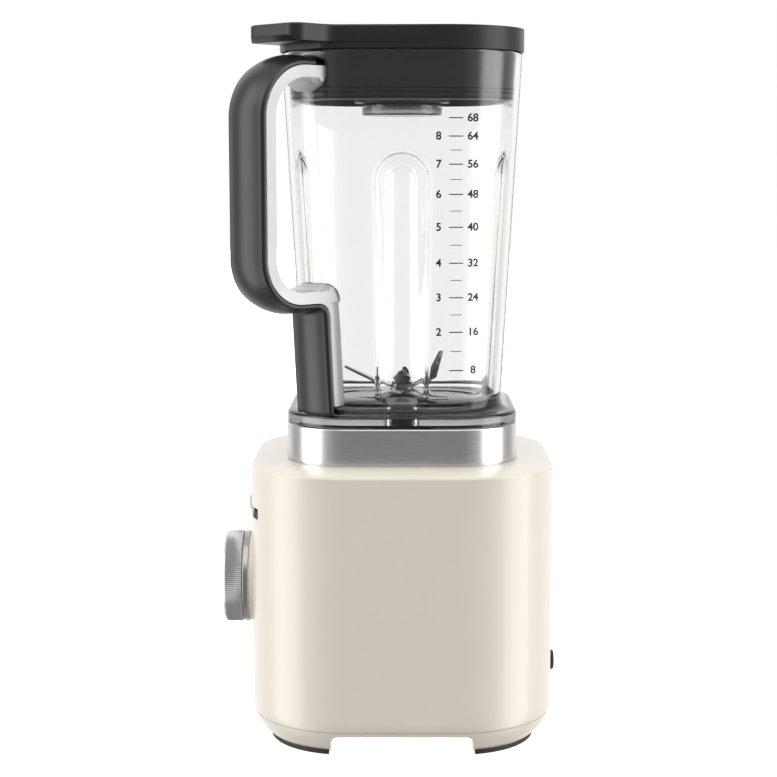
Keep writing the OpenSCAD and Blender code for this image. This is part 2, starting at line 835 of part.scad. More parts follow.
// Field coils: an arc over each end of the stack, joined by bars in the slots
module field_coils() {
  r0 = bore_r + 1.1;
  r1 = stator_half - 9.5;
  arc_deg = 150;
  bar_deg = 17;
  z_low = stack_z - coil_end + 0.5;
  z_high = stack_top + coil_end - 0.5;
  color("chocolate") for (side = [15, 195]) rotate([0, 0, side]) difference() {
    rotate_extrude(angle = arc_deg) translate([r0, z_low]) square([r1 - r0, z_high - z_low]);
    // window that the pole passes through
    rotate([0, 0, bar_deg]) rotate_extrude(angle = arc_deg - 2 * bar_deg)
      translate([r0 - 1, stack_z - 0.5]) square([r1 - r0 + 2, stack_h + 1]);
  }
}

module stator_screws() {
  color("silver") at_corners(tie_xy)
    screw_up(screw_r, 3.6, 2.2, bottom_bracket_z - 2.2, top_bracket_z + bracket_t - 0.5);
}

module motor_isolators() {
  color("dimgray") at_corners(mount_xy)
    tube(7, screw_r + fit, top_bracket_z + bracket_t, top_bracket_z + bracket_t + isolator_t);
}

module motor_screws() {
  color("silver") at_corners(mount_xy)
    screw_up(screw_r, 4, 2.4, top_bracket_z - 2.4, cavity_top - 1);
}

module ball_bearing(z) {
  tube(bearing_r, shaft_r + run, z, z + bearing_w);
}

module top_bearing() {
  color("gainsboro") ball_bearing(top_bearing_z);
}

module bottom_bearing() {
  color("gainsboro") ball_bearing(bottom_bearing_z);
}

module brush_holders() {
  color("goldenrod") for (s = [-1, 1]) difference() {
    translate([-7, s * 26 - 8, brush_z - holder_half]) cube([14, 16, 2 * holder_half]);
    translate([-4 - run, s * 26 - 9, brush_z - 4 - run]) cube([8 + 2 * run, 18, 8 + 2 * run]);
  }
}

module carbon_brushes() {
  color("dimgray") difference() {
    for (s = [0, 180]) rotate([0, 0, s]) translate([-4, 0, brush_z - 4]) cube([8, 30, 8]);
    translate([0, 0, brush_z - 5]) cylinder(r = comm_r + part_gap, h = 10);
  }
}

module fan_shroud() {
  color("dimgray") difference() {
    translate([0, 0, split_z]) cylinder(r = shroud_r, h = bottom_bracket_z - split_z);
    translate([0, 0, split_z - 1]) cylinder(r = shroud_r - 2, h = bottom_bracket_z - split_z - 1);
    translate([0, 0, split_z]) cylinder(r = 24, h = bottom_bracket_z);
    // cut-outs that clear the stator screw heads
    at_corners(tie_xy) translate([0, 0, bottom_bracket_z - 6]) cylinder(r = 5, h = 10);
  }
}

module motor_shaft() {
  color("silver") translate([0, 0, shaft_bottom]) cylinder(r = shaft_r, h = drive_z + star_h - 1 - shaft_bottom);
}

module rotor_core() {
  color("slategray") translate([0, 0, stack_z]) linear_extrude(stack_h) difference() {
    circle(rotor_r);
    circle(shaft_r);
    for (i = [0 : 21]) rotate(360 * i / 22) translate([rotor_r - 3, 0]) {
      circle(1.5, $fn = 24);
      translate([0, -0.5]) square([4, 1]);
    }
  }
}

module rotor_windings() {
  color("chocolate") for (z = [stack_z - coil_end + 1, stack_top])
    tube(rotor_r - 4, shaft_r, z, z + coil_end - 1);
}

module commutator() {
  color("peru") translate([0, 0, comm_z]) linear_extrude(comm_h) difference() {
    circle(comm_r);
    circle(shaft_r);
    for (i = [0 : 21]) rotate(360 * i / 22) translate([comm_r - 1, -0.3]) square([2, 0.6]);
  }
}

module cooling_fan() {
  color("dimgray") difference() {
    union() {
      translate([0, 0, fan_z + fan_h - 1.6]) cylinder(r = fan_r, h = 1.6);
      translate([0, 0, fan_z]) cylinder(r = 9, h = fan_h);
      for (i = [0 : fan_blades - 1]) rotate([0, 0, 360 * i / fan_blades])
        translate([8, 0, fan_z]) rotate([0, 0, -18]) cube([fan_r - 10, 1.6, fan_h - 1]);
    }
    translate([0, 0, fan_z - 1]) cylinder(r = shaft_r, h = fan_h + 2);
  }
}

// Lobed star shared by both halves of the coupling, grown by a clearance
module star(grow) {
  circle(star_r - 2.6 + grow);
  for (i = [0 : star_lobes - 1]) rotate(360 * i / star_lobes) translate([star_r - 4.2, 0]) {
    circle(star_lobe_r + grow);
    translate([2, 0]) circle(star_lobe_r + grow);
  }
}

module drive_coupling() {
  color("silver") difference() {
    union() {
      translate([0, 0, drive_z]) cylinder(r = star_r + 1, h = 1.2);
      translate([0, 0, drive_z]) linear_extrude(star_h) star(0);
    }
    translate([0, 0, drive_z - 1]) cylinder(r = shaft_r, h = star_h);
  }
}

// ---- jar -----------------------------------------------------------------

// Outline of a tapered jar solid, set in by a distance, from z0 to z1
module jar_section(inset, z0, z1) {
  polygon([[0, z0], [jar_half(z0) - inset - jar_c, z0], [jar_half(z1) - inset - jar_c, z1], [0, z1]]);
}

module jar_solid(inset, z0, z1) {
  swept(jar_c) jar_section(inset, z0, z1);
  core_block(jar_c, z0, z1);
}

module jar_inside() {
  z1 = jar_top + 1;
  wall_x = jar_half(floor_top + floor_r) - jar_wall - jar_c;
  swept(jar_c) polygon(concat(
    [[0, z1], [0, floor_top]],
    arc(wall_x - floor_r, floor_top + floor_r, floor_r, -90, 0, 6),
    [[jar_half(z1) - jar_wall - jar_c, z1]]));
  core_block(jar_c, floor_top, z1);
}

// One flute: a leaning rod with a ball end, drawn with its radius grown by a margin
module flute(margin) {
  lean = atan(taper * 0.5);
  r = flute_r + margin;
  rod_h = flute_end_z - floor_z + 2;
  translate([jar_half(flute_end_z) + flute_offset, 0, flute_end_z]) rotate([0, lean, 0]) rotate_extrude() {
    translate([0, -rod_h]) square([r, rod_h]);
    intersection() {
      circle(r);
      square(r + 1);
    }
  }
}

module flutes(margin) {
  for (a = [0 : 90 : 270]) rotate([0, 0, a]) flute(margin);
}

module flange_section() {
  x = flange_half - collar_c;
  top = flange_z + flange_t;
  skirt_x = collar_corner - collar_t - fit - 0.4;
  polygon([
    [12, floor_z], [skirt_x - 3, floor_z], [skirt_x - 3, flange_z - skirt_h], [skirt_x, flange_z - skirt_h],
    [skirt_x, flange_z], [x, flange_z],
    each arc(x - flange_r, top - flange_r, flange_r, 0, 90, 5),
    [x - 5.5, top + 0.3], [x - 7.8, top + 1.4], [x - 9, top + 3], [x - 9.2, floor_top + 3], [12, floor_top + 3]
  ]);
}

// Plane of the handle: x runs outward along the diagonal, y is up
module in_handle_plane(width) {
  rotate([0, 0, -45]) rotate([90, 0, 0]) linear_extrude(width, center = true) children();
}

// Region inside the handle's middle line, moved out by n
module handle_region(n) {
  x0 = 50;
  x1 = grip_out + n;
  rt = bend_top + n;
  rl = bend_low + n;
  z0 = lower_z - n;
  z1 = upper_z + n;
  translate([x0, z0]) square([x1 - rl - x0, z1 - z0]);
  translate([x0, z0 + rl]) square([x1 - x0, z1 - rt - z0 - rl]);
  translate([x0, z0]) square([x1 - rt - x0, z1 - z0]);
  translate([x1 - rt, z1 - rt]) circle(rt);
  translate([x1 - rl, z0 + rl]) circle(rl);
}

// Fillet in the corner between an arm and the jar wall; side is 1 under the upper arm
module root_fillet(z, side) {
  tangent_z = z - side * root_r;
  x = jar_rho(tangent_z) + root_r;
  difference() {
    translate([0, min(z, tangent_z)]) square([x, root_r]);
    translate([x, tangent_z]) circle(root_r);
  }
}

module core_outline() {
  difference() {
    union() {
      handle_region(-fit);
      polygon([[50, core_foot_z], [jar_rho(core_foot_z) + back_gap - fit, core_foot_z],
        [arm_rho - fit, lower_z + 2], [50, lower_z + 2]]);
    }
    difference() {
      handle_region(-core_t);
      square([50 + eps, far]);
      root_fillet(upper_z - core_t, 1);
      root_fillet(lower_z + core_t, -1);
    }
  }
}

// Clear core of the handle, from the jar's outer wall outward
module handle_core() {
  color([0.85, 0.92, 0.95, 0.4]) difference() {
    in_handle_plane(grip_w) core_outline();
    jar_solid(0, floor_z, jar_top + 1);
  }
}

module jar() {
  color([0.85, 0.92, 0.95, 0.4]) difference() {
    union() {
      difference() {
        jar_solid(0, floor_z, jar_top);
        difference() {
          jar_inside();
          flutes(jar_wall);
        }
      }
      difference() {
        union() {
          swept(collar_c) flange_section();
          core_block(collar_c + 12, floor_z, floor_top);
        }
        jar_inside();
      }
    }
    intersection() {
      flutes(0);
      slab(jar_top_w, 10, floor_top + 3, jar_top);
    }
    // seat for the foot of the soft grip
    in_handle_plane(grip_w + 2 * fit) polygon([
      [jar_rho(grip_foot_z) + back_gap - fit, grip_foot_z - fit], [far, grip_foot_z - fit],
      [far, core_foot_z + 1], [jar_rho(core_foot_z) + back_gap - fit, core_foot_z + 1]]);
    translate([0, 0, floor_z - 1]) cylinder(r = hub_r + fit / 2, h = floor_t + 2);
  }
}

// Skins a row of rings that all have the same number of points
module skin(rings) {
  n = len(rings[0]);
  last = len(rings) - 1;
  points = [for (ring = rings) for (p = ring) p];
  sides = [for (k = [0 : last - 1], i = [0 : n - 1]) let (j = (i + 1) % n)
    each [[k * n + i, k * n + j, (k + 1) * n + j], [k * n + i, (k + 1) * n + j, (k + 1) * n + i]]];
  ends = [[for (i = [n - 1 : -1 : 0]) i], [for (i = [0 : n - 1]) last * n + i]];
  polyhedron(points, concat(sides, ends), convexity = 6);
}

module handle_grip() {
  color("dimgray") rotate([0, 0, -45])
    skin([for (p = grip_path) [for (s = grip_section) [p[0] + p[2] * s[1], s[0], p[1] + p[3] * s[1]]]]);
}

// ---- blade bearing -------------------------------------------------------

module blade_base() {
  color("silver") difference() {
    union() {
      translate([0, 0, hub_bottom]) cylinder(r = hub_r, h = hub_top - hub_bottom);
      translate([0, 0, floor_top + 0.6]) cylinder(r = hub_flange_r, h = hub_flange_t - 0.6);
    }
    translate([0, 0, hub_bottom + 1.5]) cylinder(r = bush_r, h = 60);
    translate([0, 0, hub_bottom - 1]) cylinder(r = blade_spindle_r + 1, h = 60);
  }
}

module blade_base_seal() {
  color("dimgray") tube(hub_flange_r, hub_r + run, floor_top, floor_top + 0.6);
}

module jar_nut() {
  color("dimgray") difference() {
    translate([0, 0, floor_z - 6]) linear_extrude(6) difference() {
      circle(18);
      for (i = [0 : 11]) rotate(30 * i) translate([18.6, 0]) circle(1.6, $fn = 24);
    }
    translate([0, 0, floor_z - 7]) cylinder(r = hub_r + run, h = 8);
  }
}

module spindle_bush() {
  color("goldenrod") tube(bush_r - bush_fit, blade_spindle_r + run, hub_bottom + 1.5, hub_top - 2);
}

module spindle_seal() {
  color("dimgray") tube(bush_r - bush_fit, blade_spindle_r + run, hub_top - 2, hub_top);
}

module blade_spindle() {
  color("silver") translate([0, 0, drive_z + star_h + 0.8])
    cylinder(r = blade_spindle_r, h = stack0 + 3 * blade_t + 4.2 - drive_z - star_h - 0.8);
}

module driven_coupling() {
  z1 = drive_z + star_h + 0.8;
  color("dimgray") difference() {
    translate([0, 0, drive_z + 1.6]) cylinder(r = star_r + 5, h = z1 + 1.6 - drive_z - 1.6);
    translate([0, 0, drive_z]) linear_extrude(star_h + 0.5) star(part_gap);
    translate([0, 0, z1 - 0.5]) cylinder(r = blade_spindle_r, h = 10);
  }
}

// ---- blades --------------------------------------------------------------

// Bottom line of a wing, from inside the hub outward: each piece adds a length at a slope
function wing_line(pieces, p = [blade_root, 0], k = 0) = k == len(pieces) ? [p] : let (len = pieces[k][0], slope = pieces[k][1])
  concat([p], wing_line(pieces, p + len * [cos(slope), sin(slope)], k + 1));

// Top line of the same wing, with mitred bends
function wing_top(pieces) = let (low = wing_line(pieces), last = len(pieces) - 1)
  [for (k = [0 : last + 1]) let (a = pieces[max(k - 1, 0)][1], b = pieces[min(k, last)][1])
    low[k] + wing_t / cos((b - a) / 2) * [-sin((a + b) / 2), cos((a + b) / 2)]];

// A bent wing along +X: flat pieces [length, slope], a root width, and a tip with one swept edge
module wing(pieces, root_w, tip_w) {
  top = wing_top(pieces);
  low = wing_line(pieces);
  last = len(pieces) - 1;
  bend = low[last][0];
  reach = max(low[last + 1][0], top[last + 1][0]) - bend;
  translate([0, 0, hub_step]) intersection() {
    rotate([90, 0, 0]) linear_extrude(2 * root_w, center = true)
      polygon(concat(low, [for (k = [last + 1 : -1 : 0]) top[k]]));
    translate([0, 0, -60]) linear_extrude(120) polygon([
      [0, -root_w / 2], [bend, -root_w / 2], [bend + reach * 0.72, -tip_w / 2 - 0.6],
      [bend + reach + 1, tip_w / 2], [bend + reach * 0.9, tip_w / 2 + 0.8], [bend, root_w / 2], [0, root_w / 2]]);
  }
}

module blade_disc(level) {
  translate([0, 0, stack0 + level * blade_t]) difference() {
    union() {
      cylinder(r = blade_hub_r, h = blade_t);
      children();
    }
    translate([0, 0, -1]) cylinder(r = blade_spindle_r, h = blade_t + 2);
  }
}

module upper_blade() {
  color("silver") blade_disc(2) {
    // long wing, rising to the front
    rotate([0, 0, -90]) wing([[6, 0], [long_blade, long_rise]], 12, 5);
    // steep wing with two bends, rising to the rear
    rotate([0, 0, 62]) wing([[6, 0], [11, 30], [steep_blade, steep_rise]], 12, 3);
  }
}

module middle_blade() {
  color("silver") blade_disc(1) {
    rotate([0, 0, 172]) wing([[8, 0], [middle_length, 35]], 11, 4);
    rotate([0, 0, -8]) wing([[8, 0], [middle_length, -8]], 11, 4);
  }
}

module lower_blade() {
  color("silver") blade_disc(0) {
    for (a = [55, 235]) rotate([0, 0, a]) wing([[7, 0], [lower_length, -9]], 12, 5);
  }
}

module blade_nut() {
  z0 = stack0 + 3 * blade_t;
  color("silver") difference() {
    union() {
      translate([0, 0, z0]) cylinder(r = 8, h = 1.2);
      translate([0, 0, z0]) cylinder(r = 6.6, h = 5, $fn = 6);
      translate([0, 0, z0 + 3]) sphere(4.9);
    }
    translate([0, 0, z0 - 4]) cylinder(r = 9, h = 4);
    translate([0, 0, z0 - 4]) cylinder(r = blade_spindle_r, h = 8.3);
  }
}

// ---- lid and cap ---------------------------------------------------------

module lid_rim_section() {
  x = lid_w / 2 - jar_c;
  r = 1.6;
  translate([0, lid_z]) square([x, lid_rim_h - r]);
  translate([0, lid_z]) square([x - r, lid_rim_h]);
  translate([x - r, lid_top - r]) circle(r);
}

// Tongue outline along +X: straight sides, round end corners, flared root
module tongue_outline() {
  h = tongue_w / 2;
  r = tongue_r;
  rim_c = jar_c * sqrt(2);
  rim_corner = lid_w / 2 - jar_c;
  flare_x = rim_c + sqrt(pow(rim_corner + tongue_flare, 2) - pow(h + tongue_flare, 2));
  translate([rim_c, -h]) square([tongue_out - rim_c - r, tongue_w]);
  translate([rim_c, -h + r]) square([tongue_out - rim_c, tongue_w - 2 * r]);
  for (s = [-1, 1]) {
    translate([tongue_out - r, s * (h - r)]) circle(r);
    difference() {
      polygon([[rim_c, 0], [flare_x, 0], [flare_x, s * (h + tongue_flare)]]);
      translate([flare_x, s * (h + tongue_flare)]) circle(tongue_flare);
    }
  }
}

module lid_plug(inset, z0, z1) {
  jar_solid(jar_wall + inset, z0, z1);
}

module lid() {
  color("dimgray") difference() {
    union() {
      swept(jar_c) lid_rim_section();
      core_block(jar_c, lid_z, lid_top);
      rotate([0, 0, -45]) difference() {
        translate([0, 0, lid_top - tongue_t]) linear_extrude(tongue_t - 0.6) tongue_outline();
        // bevel under the free end
        translate([tongue_out, 0, lid_top - tongue_t]) rotate([90, 0, 0]) linear_extrude(2 * tongue_w, center = true)
          polygon([[-1.4 * tongue_bevel, -1], [-1.4 * tongue_bevel, 0], [0, tongue_bevel], [1, tongue_bevel], [1, -1]]);
      }
      difference() {
        lid_plug(0.7, plug_z, lid_z + 1);
        // groove that holds the gasket
        difference() {
          jar_solid(-5, gasket_z, gasket_z + gasket_h);
          lid_plug(0.7 + gasket_groove, gasket_z - 1, gasket_z + gasket_h + 1);
        }
      }
    }
    // hollow plug round the filler tube
    difference() {
      lid_plug(0.7 + gasket_groove + plug_t, plug_z - 1, lid_top - cap_flange_t - 3.4);
      translate([0, 0, plug_z - 2]) cylinder(r = cap_bore_r + 3, h = plug_h + lid_rim_h);
    }
    translate([0, 0, plug_z - 2]) cylinder(r = cap_bore_r, h = plug_h + lid_rim_h);
    translate([0, 0, lid_top - cap_flange_t - 0.6]) cylinder(r = cap_flange_r + part_gap, h = 10);
  }
}

module lid_gasket() {
  color("black") difference() {
    union() {
      lid_plug(0.7 + fit, gasket_z + fit / 2, gasket_z + gasket_h - fit / 2);
      for (i = [0 : 2]) lid_plug(0.3, gasket_z + 0.6 + 2.6 * i, gasket_z + 1.6 + 2.6 * i);
    }
    lid_plug(0.7 + gasket_groove - 0.05, gasket_z - 1, gasket_z + gasket_h + 1);
  }
}

module filler_cap() {
  z0 = plug_z - cap_drop;
  z1 = lid_top - 0.6;
  color([0.3, 0.3, 0.32, 0.6]) rotate_extrude() difference() {
    union() {
      translate([0, z0 + 1.5]) square([cap_r, z1 - z0 - 1.5]);
      translate([0, z0]) square([cap_r - 1.5, 3]);
      translate([cap_r - 1.5, z0 + 1.5]) circle(1.5);
      translate([0, z1 - cap_flange_t + 0.1]) square([cap_flange_r, cap_flange_t - 0.1]);
    }
    translate([-1, z0 + 3]) square([cap_r - cap_t + 1, z1 - z0]);
    translate([-5, z0 - 1]) square([5, z1 - z0 + 2]);
  }
}

housing();
bottom_cover();
rubber_feet();
cover_screws();
collar();
collar_screws();
seat_pad();
dial_bezel();
dial_bush();
speed_switch();
control_board();
board_screws();
heat_sink();
noise_capacitor();
lever_bracket();
lever_switches();
cord_gland();
gland_nut();
motor_top_bracket();
motor_bottom_bracket();
stator_core();
field_coils();
stator_screws();
motor_isolators();
motor_screws();
top_bearing();
bottom_bearing();
brush_holders();
carbon_brushes();
fan_shroud();
motor_shaft();
rotor_core();
rotor_windings();
commutator();
cooling_fan();
drive_coupling();
dial_knob();
dial_face();
dial_spindle();
start_lever();
lever_pin();
jar();
handle_core();
handle_grip();
blade_base();
blade_base_seal();
jar_nut();
spindle_bush();
spindle_seal();
blade_spindle();
driven_coupling();
lower_blade();
middle_blade();
upper_blade();
blade_nut();
lid();
lid_gasket();
filler_cap();
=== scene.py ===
import json
from math import acos, asin, atan2, cos, degrees, pi, radians, sin, sqrt

import bmesh
import bpy
from mathutils import Matrix, Vector


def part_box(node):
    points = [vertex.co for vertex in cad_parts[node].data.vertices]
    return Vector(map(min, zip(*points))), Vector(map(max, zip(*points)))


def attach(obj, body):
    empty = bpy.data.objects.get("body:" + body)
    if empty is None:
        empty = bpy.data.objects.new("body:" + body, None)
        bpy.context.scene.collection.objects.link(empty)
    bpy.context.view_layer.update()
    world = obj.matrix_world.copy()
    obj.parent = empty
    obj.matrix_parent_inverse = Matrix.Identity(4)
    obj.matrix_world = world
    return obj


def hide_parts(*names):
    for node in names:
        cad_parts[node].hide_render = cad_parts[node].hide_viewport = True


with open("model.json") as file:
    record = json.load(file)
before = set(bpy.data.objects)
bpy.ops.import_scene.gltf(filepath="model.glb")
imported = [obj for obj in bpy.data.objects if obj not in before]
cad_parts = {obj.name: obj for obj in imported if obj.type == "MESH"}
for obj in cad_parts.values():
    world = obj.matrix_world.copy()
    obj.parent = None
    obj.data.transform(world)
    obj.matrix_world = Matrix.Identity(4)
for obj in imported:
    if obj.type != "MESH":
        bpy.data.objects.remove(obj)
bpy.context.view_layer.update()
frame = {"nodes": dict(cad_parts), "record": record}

# Pieces are drawn in millimetres in the part's own frame, and scaled to metres when placed.
MM = 0.001
nodes = frame["nodes"]


def low(node):
    """The lowest corner of a solid's box."""
    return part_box(node)[0] / MM


def high(node):
    """The highest corner of a solid's box."""
    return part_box(node)[1] / MM


# ---- sizes -----------------------------------------------------------------
# A half is a width from the middle, and a c is how far from the middle a round corner has its centre.

body_half = high("housing").x
body_corner = 57.0
body_c = body_half - body_corner
wall = 3.0
split_z = low("housing").z
deck_z = high("housing").z
deck_rise = 2.8
rim_r = 1.8
cavity_top = deck_z - 6.8
tuck_r = 25.0
tuck_z = 23.4
tuck_levels = (17.6, 18.7, 20.0, 21.5, tuck_z)
mid_z = 90.0
deck_hole_r = 9.0

collar_half = high("collar").x
collar_corner = 38.9
collar_c = collar_half - collar_corner
collar_t = 3.5
collar_top = high("collar").z

dial_z = (low("dial_bezel").z + high("dial_bezel").z) / 2
dial_r = high("dial_bezel").x
knob_y = high("dial_knob").y
knob_front_y = low("dial_knob").y
bezel_y = high("dial_bezel").y
dial_ribs = 145

lever_z = 137.9
lever_w = high("start_lever").x * 2
lever_t = 4.2
lever_bow = 8.4
lever_front_y = low("start_lever").y

jar_c = 25.0
corner_out = jar_c * sqrt(2)
jar_wall = 3.5
jar_top = high("jar").z
flange_z = collar_top + 0.2
floor_z = flange_z + 1.2
floor_top = floor_z + 8.0
jar_top_half = 70.35
jar_foot_half = 58.65
taper = (jar_top_half - jar_foot_half) / (jar_top - floor_top)
flange_half = 68.0
flange_t = 7.5
flange_r = 2.4
skirt_z = low("jar").z
skirt_half = collar_half - collar_t - 0.6
hub_r = 12.1
flute_r = 15.0
flute_offset = 6.0
flute_end_z = jar_top - 60.0 - sqrt(flute_r ** 2 - flute_offset ** 2)

grip_out = 119.9
grip_w = 30.0
grip_t = 3.2
grip_crown = 2.7
upper_z = jar_top - 8.8
lower_z = flange_z + 72.3
core_t = 7.0
bend_top = 30.0
bend_low = 26.0
bend_in = 8.0
back_gap = 1.2
fit = 0.2
grip_foot_z = flange_z + flange_t + 0.3

lid_top = high("lid").z
lid_half = 71.2
rib_z = (379.4, 382.1, 384.5)
rib_half_t = 0.5
lid_z = lid_top - 13.2
plug_z = 377.8
cap_foot_z = 370.2
tongue_out = 104.0
tongue_half = 21.25
tongue_r = 8.0
tongue_flare = 14.0
tongue_z = lid_top - 9.8
tongue_bevel = 3.0
cap_r = 24.0
cap_flange_r = 30.0
cap_t = 2.2


def jar_half(z):
    """Half of the jar's outer width at a height."""
    return jar_foot_half + taper * (z - floor_top)


def jar_rho(z):
    """How far out the jar's corner reaches at a height, along the diagonal."""
    return corner_out + jar_half(z) - jar_c


# ---- mesh tools --------------------------------------------------------------


def arc(cx, cy, r, start, end, steps):
    """Points on an arc from one angle to another, in degrees."""
    return [(cx + r * cos(radians(start + (end - start) * i / steps)),
             cy + r * sin(radians(start + (end - start) * i / steps))) for i in range(steps + 1)]


def spread(start, end, count):
    """Evenly spaced values from start, short of the end."""
    return [start + (end - start) * i / count for i in range(count)]


def loft(rings, loop=False):
    """Extrudes a ring of points through the places of the rings that follow; a loop ends where it began."""
    bm = bmesh.new()
    number = bm.verts.layers.int.new("number")
    first = [bm.verts.new(point) for point in rings[0]]
    for i, vert in enumerate(first):
        vert[number] = i
    edges = [bm.edges.new((first[i - 1], first[i])) for i in range(len(first))]
    ends = [edges]
    for ring in rings[1:] + (rings[:1] if loop else []):
        made = bmesh.ops.extrude_edge_only(bm, edges=edges)["geom"]
        for vert in made:
            if isinstance(vert, bmesh.types.BMVert):
                vert.co = ring[vert[number]]
        fresh = {v for v in made if isinstance(v, bmesh.types.BMVert)}
        edges = [e for e in made if isinstance(e, bmesh.types.BMEdge)
                 and e.verts[0] in fresh and e.verts[1] in fresh]
    ends.append(edges)
    if not loop:
        for end in ends:
            bmesh.ops.contextual_create(bm, geom=end)
    bmesh.ops.remove_doubles(bm, verts=bm.verts, dist=1e-4)
    bmesh.ops.recalc_face_normals(bm, faces=bm.faces)
    return bm


def four_sides(quarter, z):
    """A level ring from the points of one side and one corner."""
    ring = []
    for k in range(4):
        turn = Matrix.Rotation(k * pi / 2, 3, "Z")
        ring += [turn @ Vector((x, y, z)) for x, y in quarter]
    return ring


def round_ring(ring, radius, z):
    """The same ring drawn in to a circle, point by point."""
    return [Vector((p.x, p.y, 0)).normalized() * radius + Vector((0, 0, z)) for p in ring]


def square_rings(profile, c, steps):
    """Level rings of a square with round corners, for a profile of (corner radius, height)."""
    return [four_sides([(c + x, y) for y in spread(-c, c, 8)] + arc(c, c, x, 0, 90, steps)[:-1], z)
            for x, z in profile]


def turned(profile, steps=96, closed=False):
    """Spins a profile of (radius, height) round the Z axis."""
    bm = bmesh.new()
    verts = [bm.verts.new((r, 0, z)) for r, z in profile]
    edges = [bm.edges.new((a, b)) for a, b in zip(verts, verts[1:])]
    if closed:
        edges.append(bm.edges.new((verts[-1], verts[0])))
    bmesh.ops.spin(bm, geom=verts + edges, cent=(0, 0, 0), axis=(0, 0, 1), angle=2 * pi,
                   steps=steps, use_merge=True)
    bmesh.ops.remove_doubles(bm, verts=bm.verts, dist=1e-4)
    bmesh.ops.recalc_face_normals(bm, faces=bm.faces)
    return bm


def block(size, centre):
    """A plain block of a size about its centre."""
    bm = bmesh.new()
    bmesh.ops.create_cube(bm, size=1)
    bmesh.ops.scale(bm, vec=size, verts=bm.verts)
    bmesh.ops.translate(bm, vec=centre, verts=bm.verts)
    return bm


def eased(bm, width, segments, angle, pick=lambda edge: True):
    """Rounds the edges of a form that are sharper than an angle."""
    sharp = [e for e in bm.edges if len(e.link_faces) == 2 and e.calc_face_angle(0) > radians(angle)]
    bmesh.ops.bevel(bm, geom=[e for e in sharp if pick(e)], offset=width, offset_type="OFFSET",
                    segments=segments, profile=0.5, affect="EDGES", material=-1, clamp_overlap=True)
    return bm


def moved(bm, step):
    """The same form, moved by a matrix."""
    bmesh.ops.transform(bm, matrix=step, verts=bm.verts)
    return bm


def facing_front(y, z):
    """Turns a form drawn upward so that it faces the front, with its foot at y."""
    return Matrix.Translation((0, y, z)) @ Matrix.Rotation(pi / 2, 4, "X")


def facing_rear(y, z):
    """The same, facing the rear."""
    return Matrix.Translation((0, y, z)) @ Matrix.Rotation(-pi / 2, 4, "X")


def softened(node, width):
    """A copy of a solid in millimetres, with its flats joined up and its edges rounded by a width."""
    bm = bmesh.new()
    bm.from_mesh(nodes[node].data)
    bmesh.ops.scale(bm, vec=(1 / MM,) * 3, verts=bm.verts)
    bmesh.ops.remove_doubles(bm, verts=bm.verts, dist=1e-3)
    bmesh.ops.dissolve_limit(bm, angle_limit=radians(0.5), verts=bm.verts, edges=bm.edges)
    if width:
        eased(bm, width, 2, 35)
    return bm


def temporary(bm):
    """An object for a modifier to work on."""
    mesh = bpy.data.meshes.new("temporary")
    bm.to_mesh(mesh)
    bm.free()
    thing = bpy.data.objects.new("temporary", mesh)
    bpy.context.scene.collection.objects.link(thing)
    return thing


def combined(first, second, operation):
    """Joins two closed forms, or cuts the second from the first."""
    a, b = temporary(first), temporary(second)
    cut = a.modifiers.new("cut", "BOOLEAN")
    cut.operation, cut.solver, cut.object = operation, "EXACT", b
    bm = bmesh.new()
    bm.from_object(a, bpy.context.evaluated_depsgraph_get())
    for thing in (a, b):
        bpy.data.objects.remove(thing)
    bmesh.ops.remove_doubles(bm, verts=bm.verts, dist=1e-4)
    return bm


def together(*forms):
    """Puts several separate forms in one mesh."""
    whole = bmesh.new()
    for form in forms:
        mesh = bpy.data.meshes.new("part")
        form.to_mesh(mesh)
        form.free()
        whole.from_mesh(mesh)
        bpy.data.meshes.remove(mesh)
    return whole


def place(bm, name, body, finish, replaces=(), smooth=32):
    """Makes a finished piece that rides on a body and takes the place of solids."""
    bmesh.ops.scale(bm, vec=(MM,) * 3, verts=bm.verts)
    mesh = bpy.data.meshes.new(name)
    bm.to_mesh(mesh)
    bm.free()
    mesh.materials.append(finish.material)
    mesh.shade_smooth()
    mesh.set_sharp_from_angle(angle=radians(smooth))
    piece = bpy.data.objects.new(name, mesh)
    bpy.context.scene.collection.objects.link(piece)
    weighted = piece.modifiers.new("weighted", "WEIGHTED_NORMAL")
    weighted.keep_sharp = True
    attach(piece, body)
    if replaces:
        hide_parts(*replaces)
    return piece


# ---- finishes ----------------------------------------------------------------


class Signal:
    """A number that a shader works out: sums on it add their Math nodes."""

    def __init__(self, finish, socket):
        self.finish, self.socket = finish, socket

    def combine(self, operation, *values):
        made = self.finish.node("ShaderNodeMath", {"operation": operation}, dict(enumerate(values)))
        return Signal(self.finish, made.outputs[0])

    def __add__(self, other):
        return self.combine("ADD", self, other)

    __radd__ = __add__

    def __mul__(self, other):
        return self.combine("MULTIPLY", self, other)

    __rmul__ = __mul__

    def __sub__(self, other):
        return self.combine("SUBTRACT", self, other)

    def __rsub__(self, other):
        return self.combine("SUBTRACT", other, self)

    def __truediv__(self, other):
        return self.combine("DIVIDE", self, other)

    def __pow__(self, other):
        return self.combine("POWER", self, other)

    def step(self, start, end):
        """0 before start, 1 after end, smooth between."""
        made = self.finish.node("ShaderNodeMapRange", {"interpolation_type": "SMOOTHSTEP"},
                                {0: self, 1: start, 2: end, 3: 0.0, 4: 1.0})
        return Signal(self.finish, made.outputs[0])


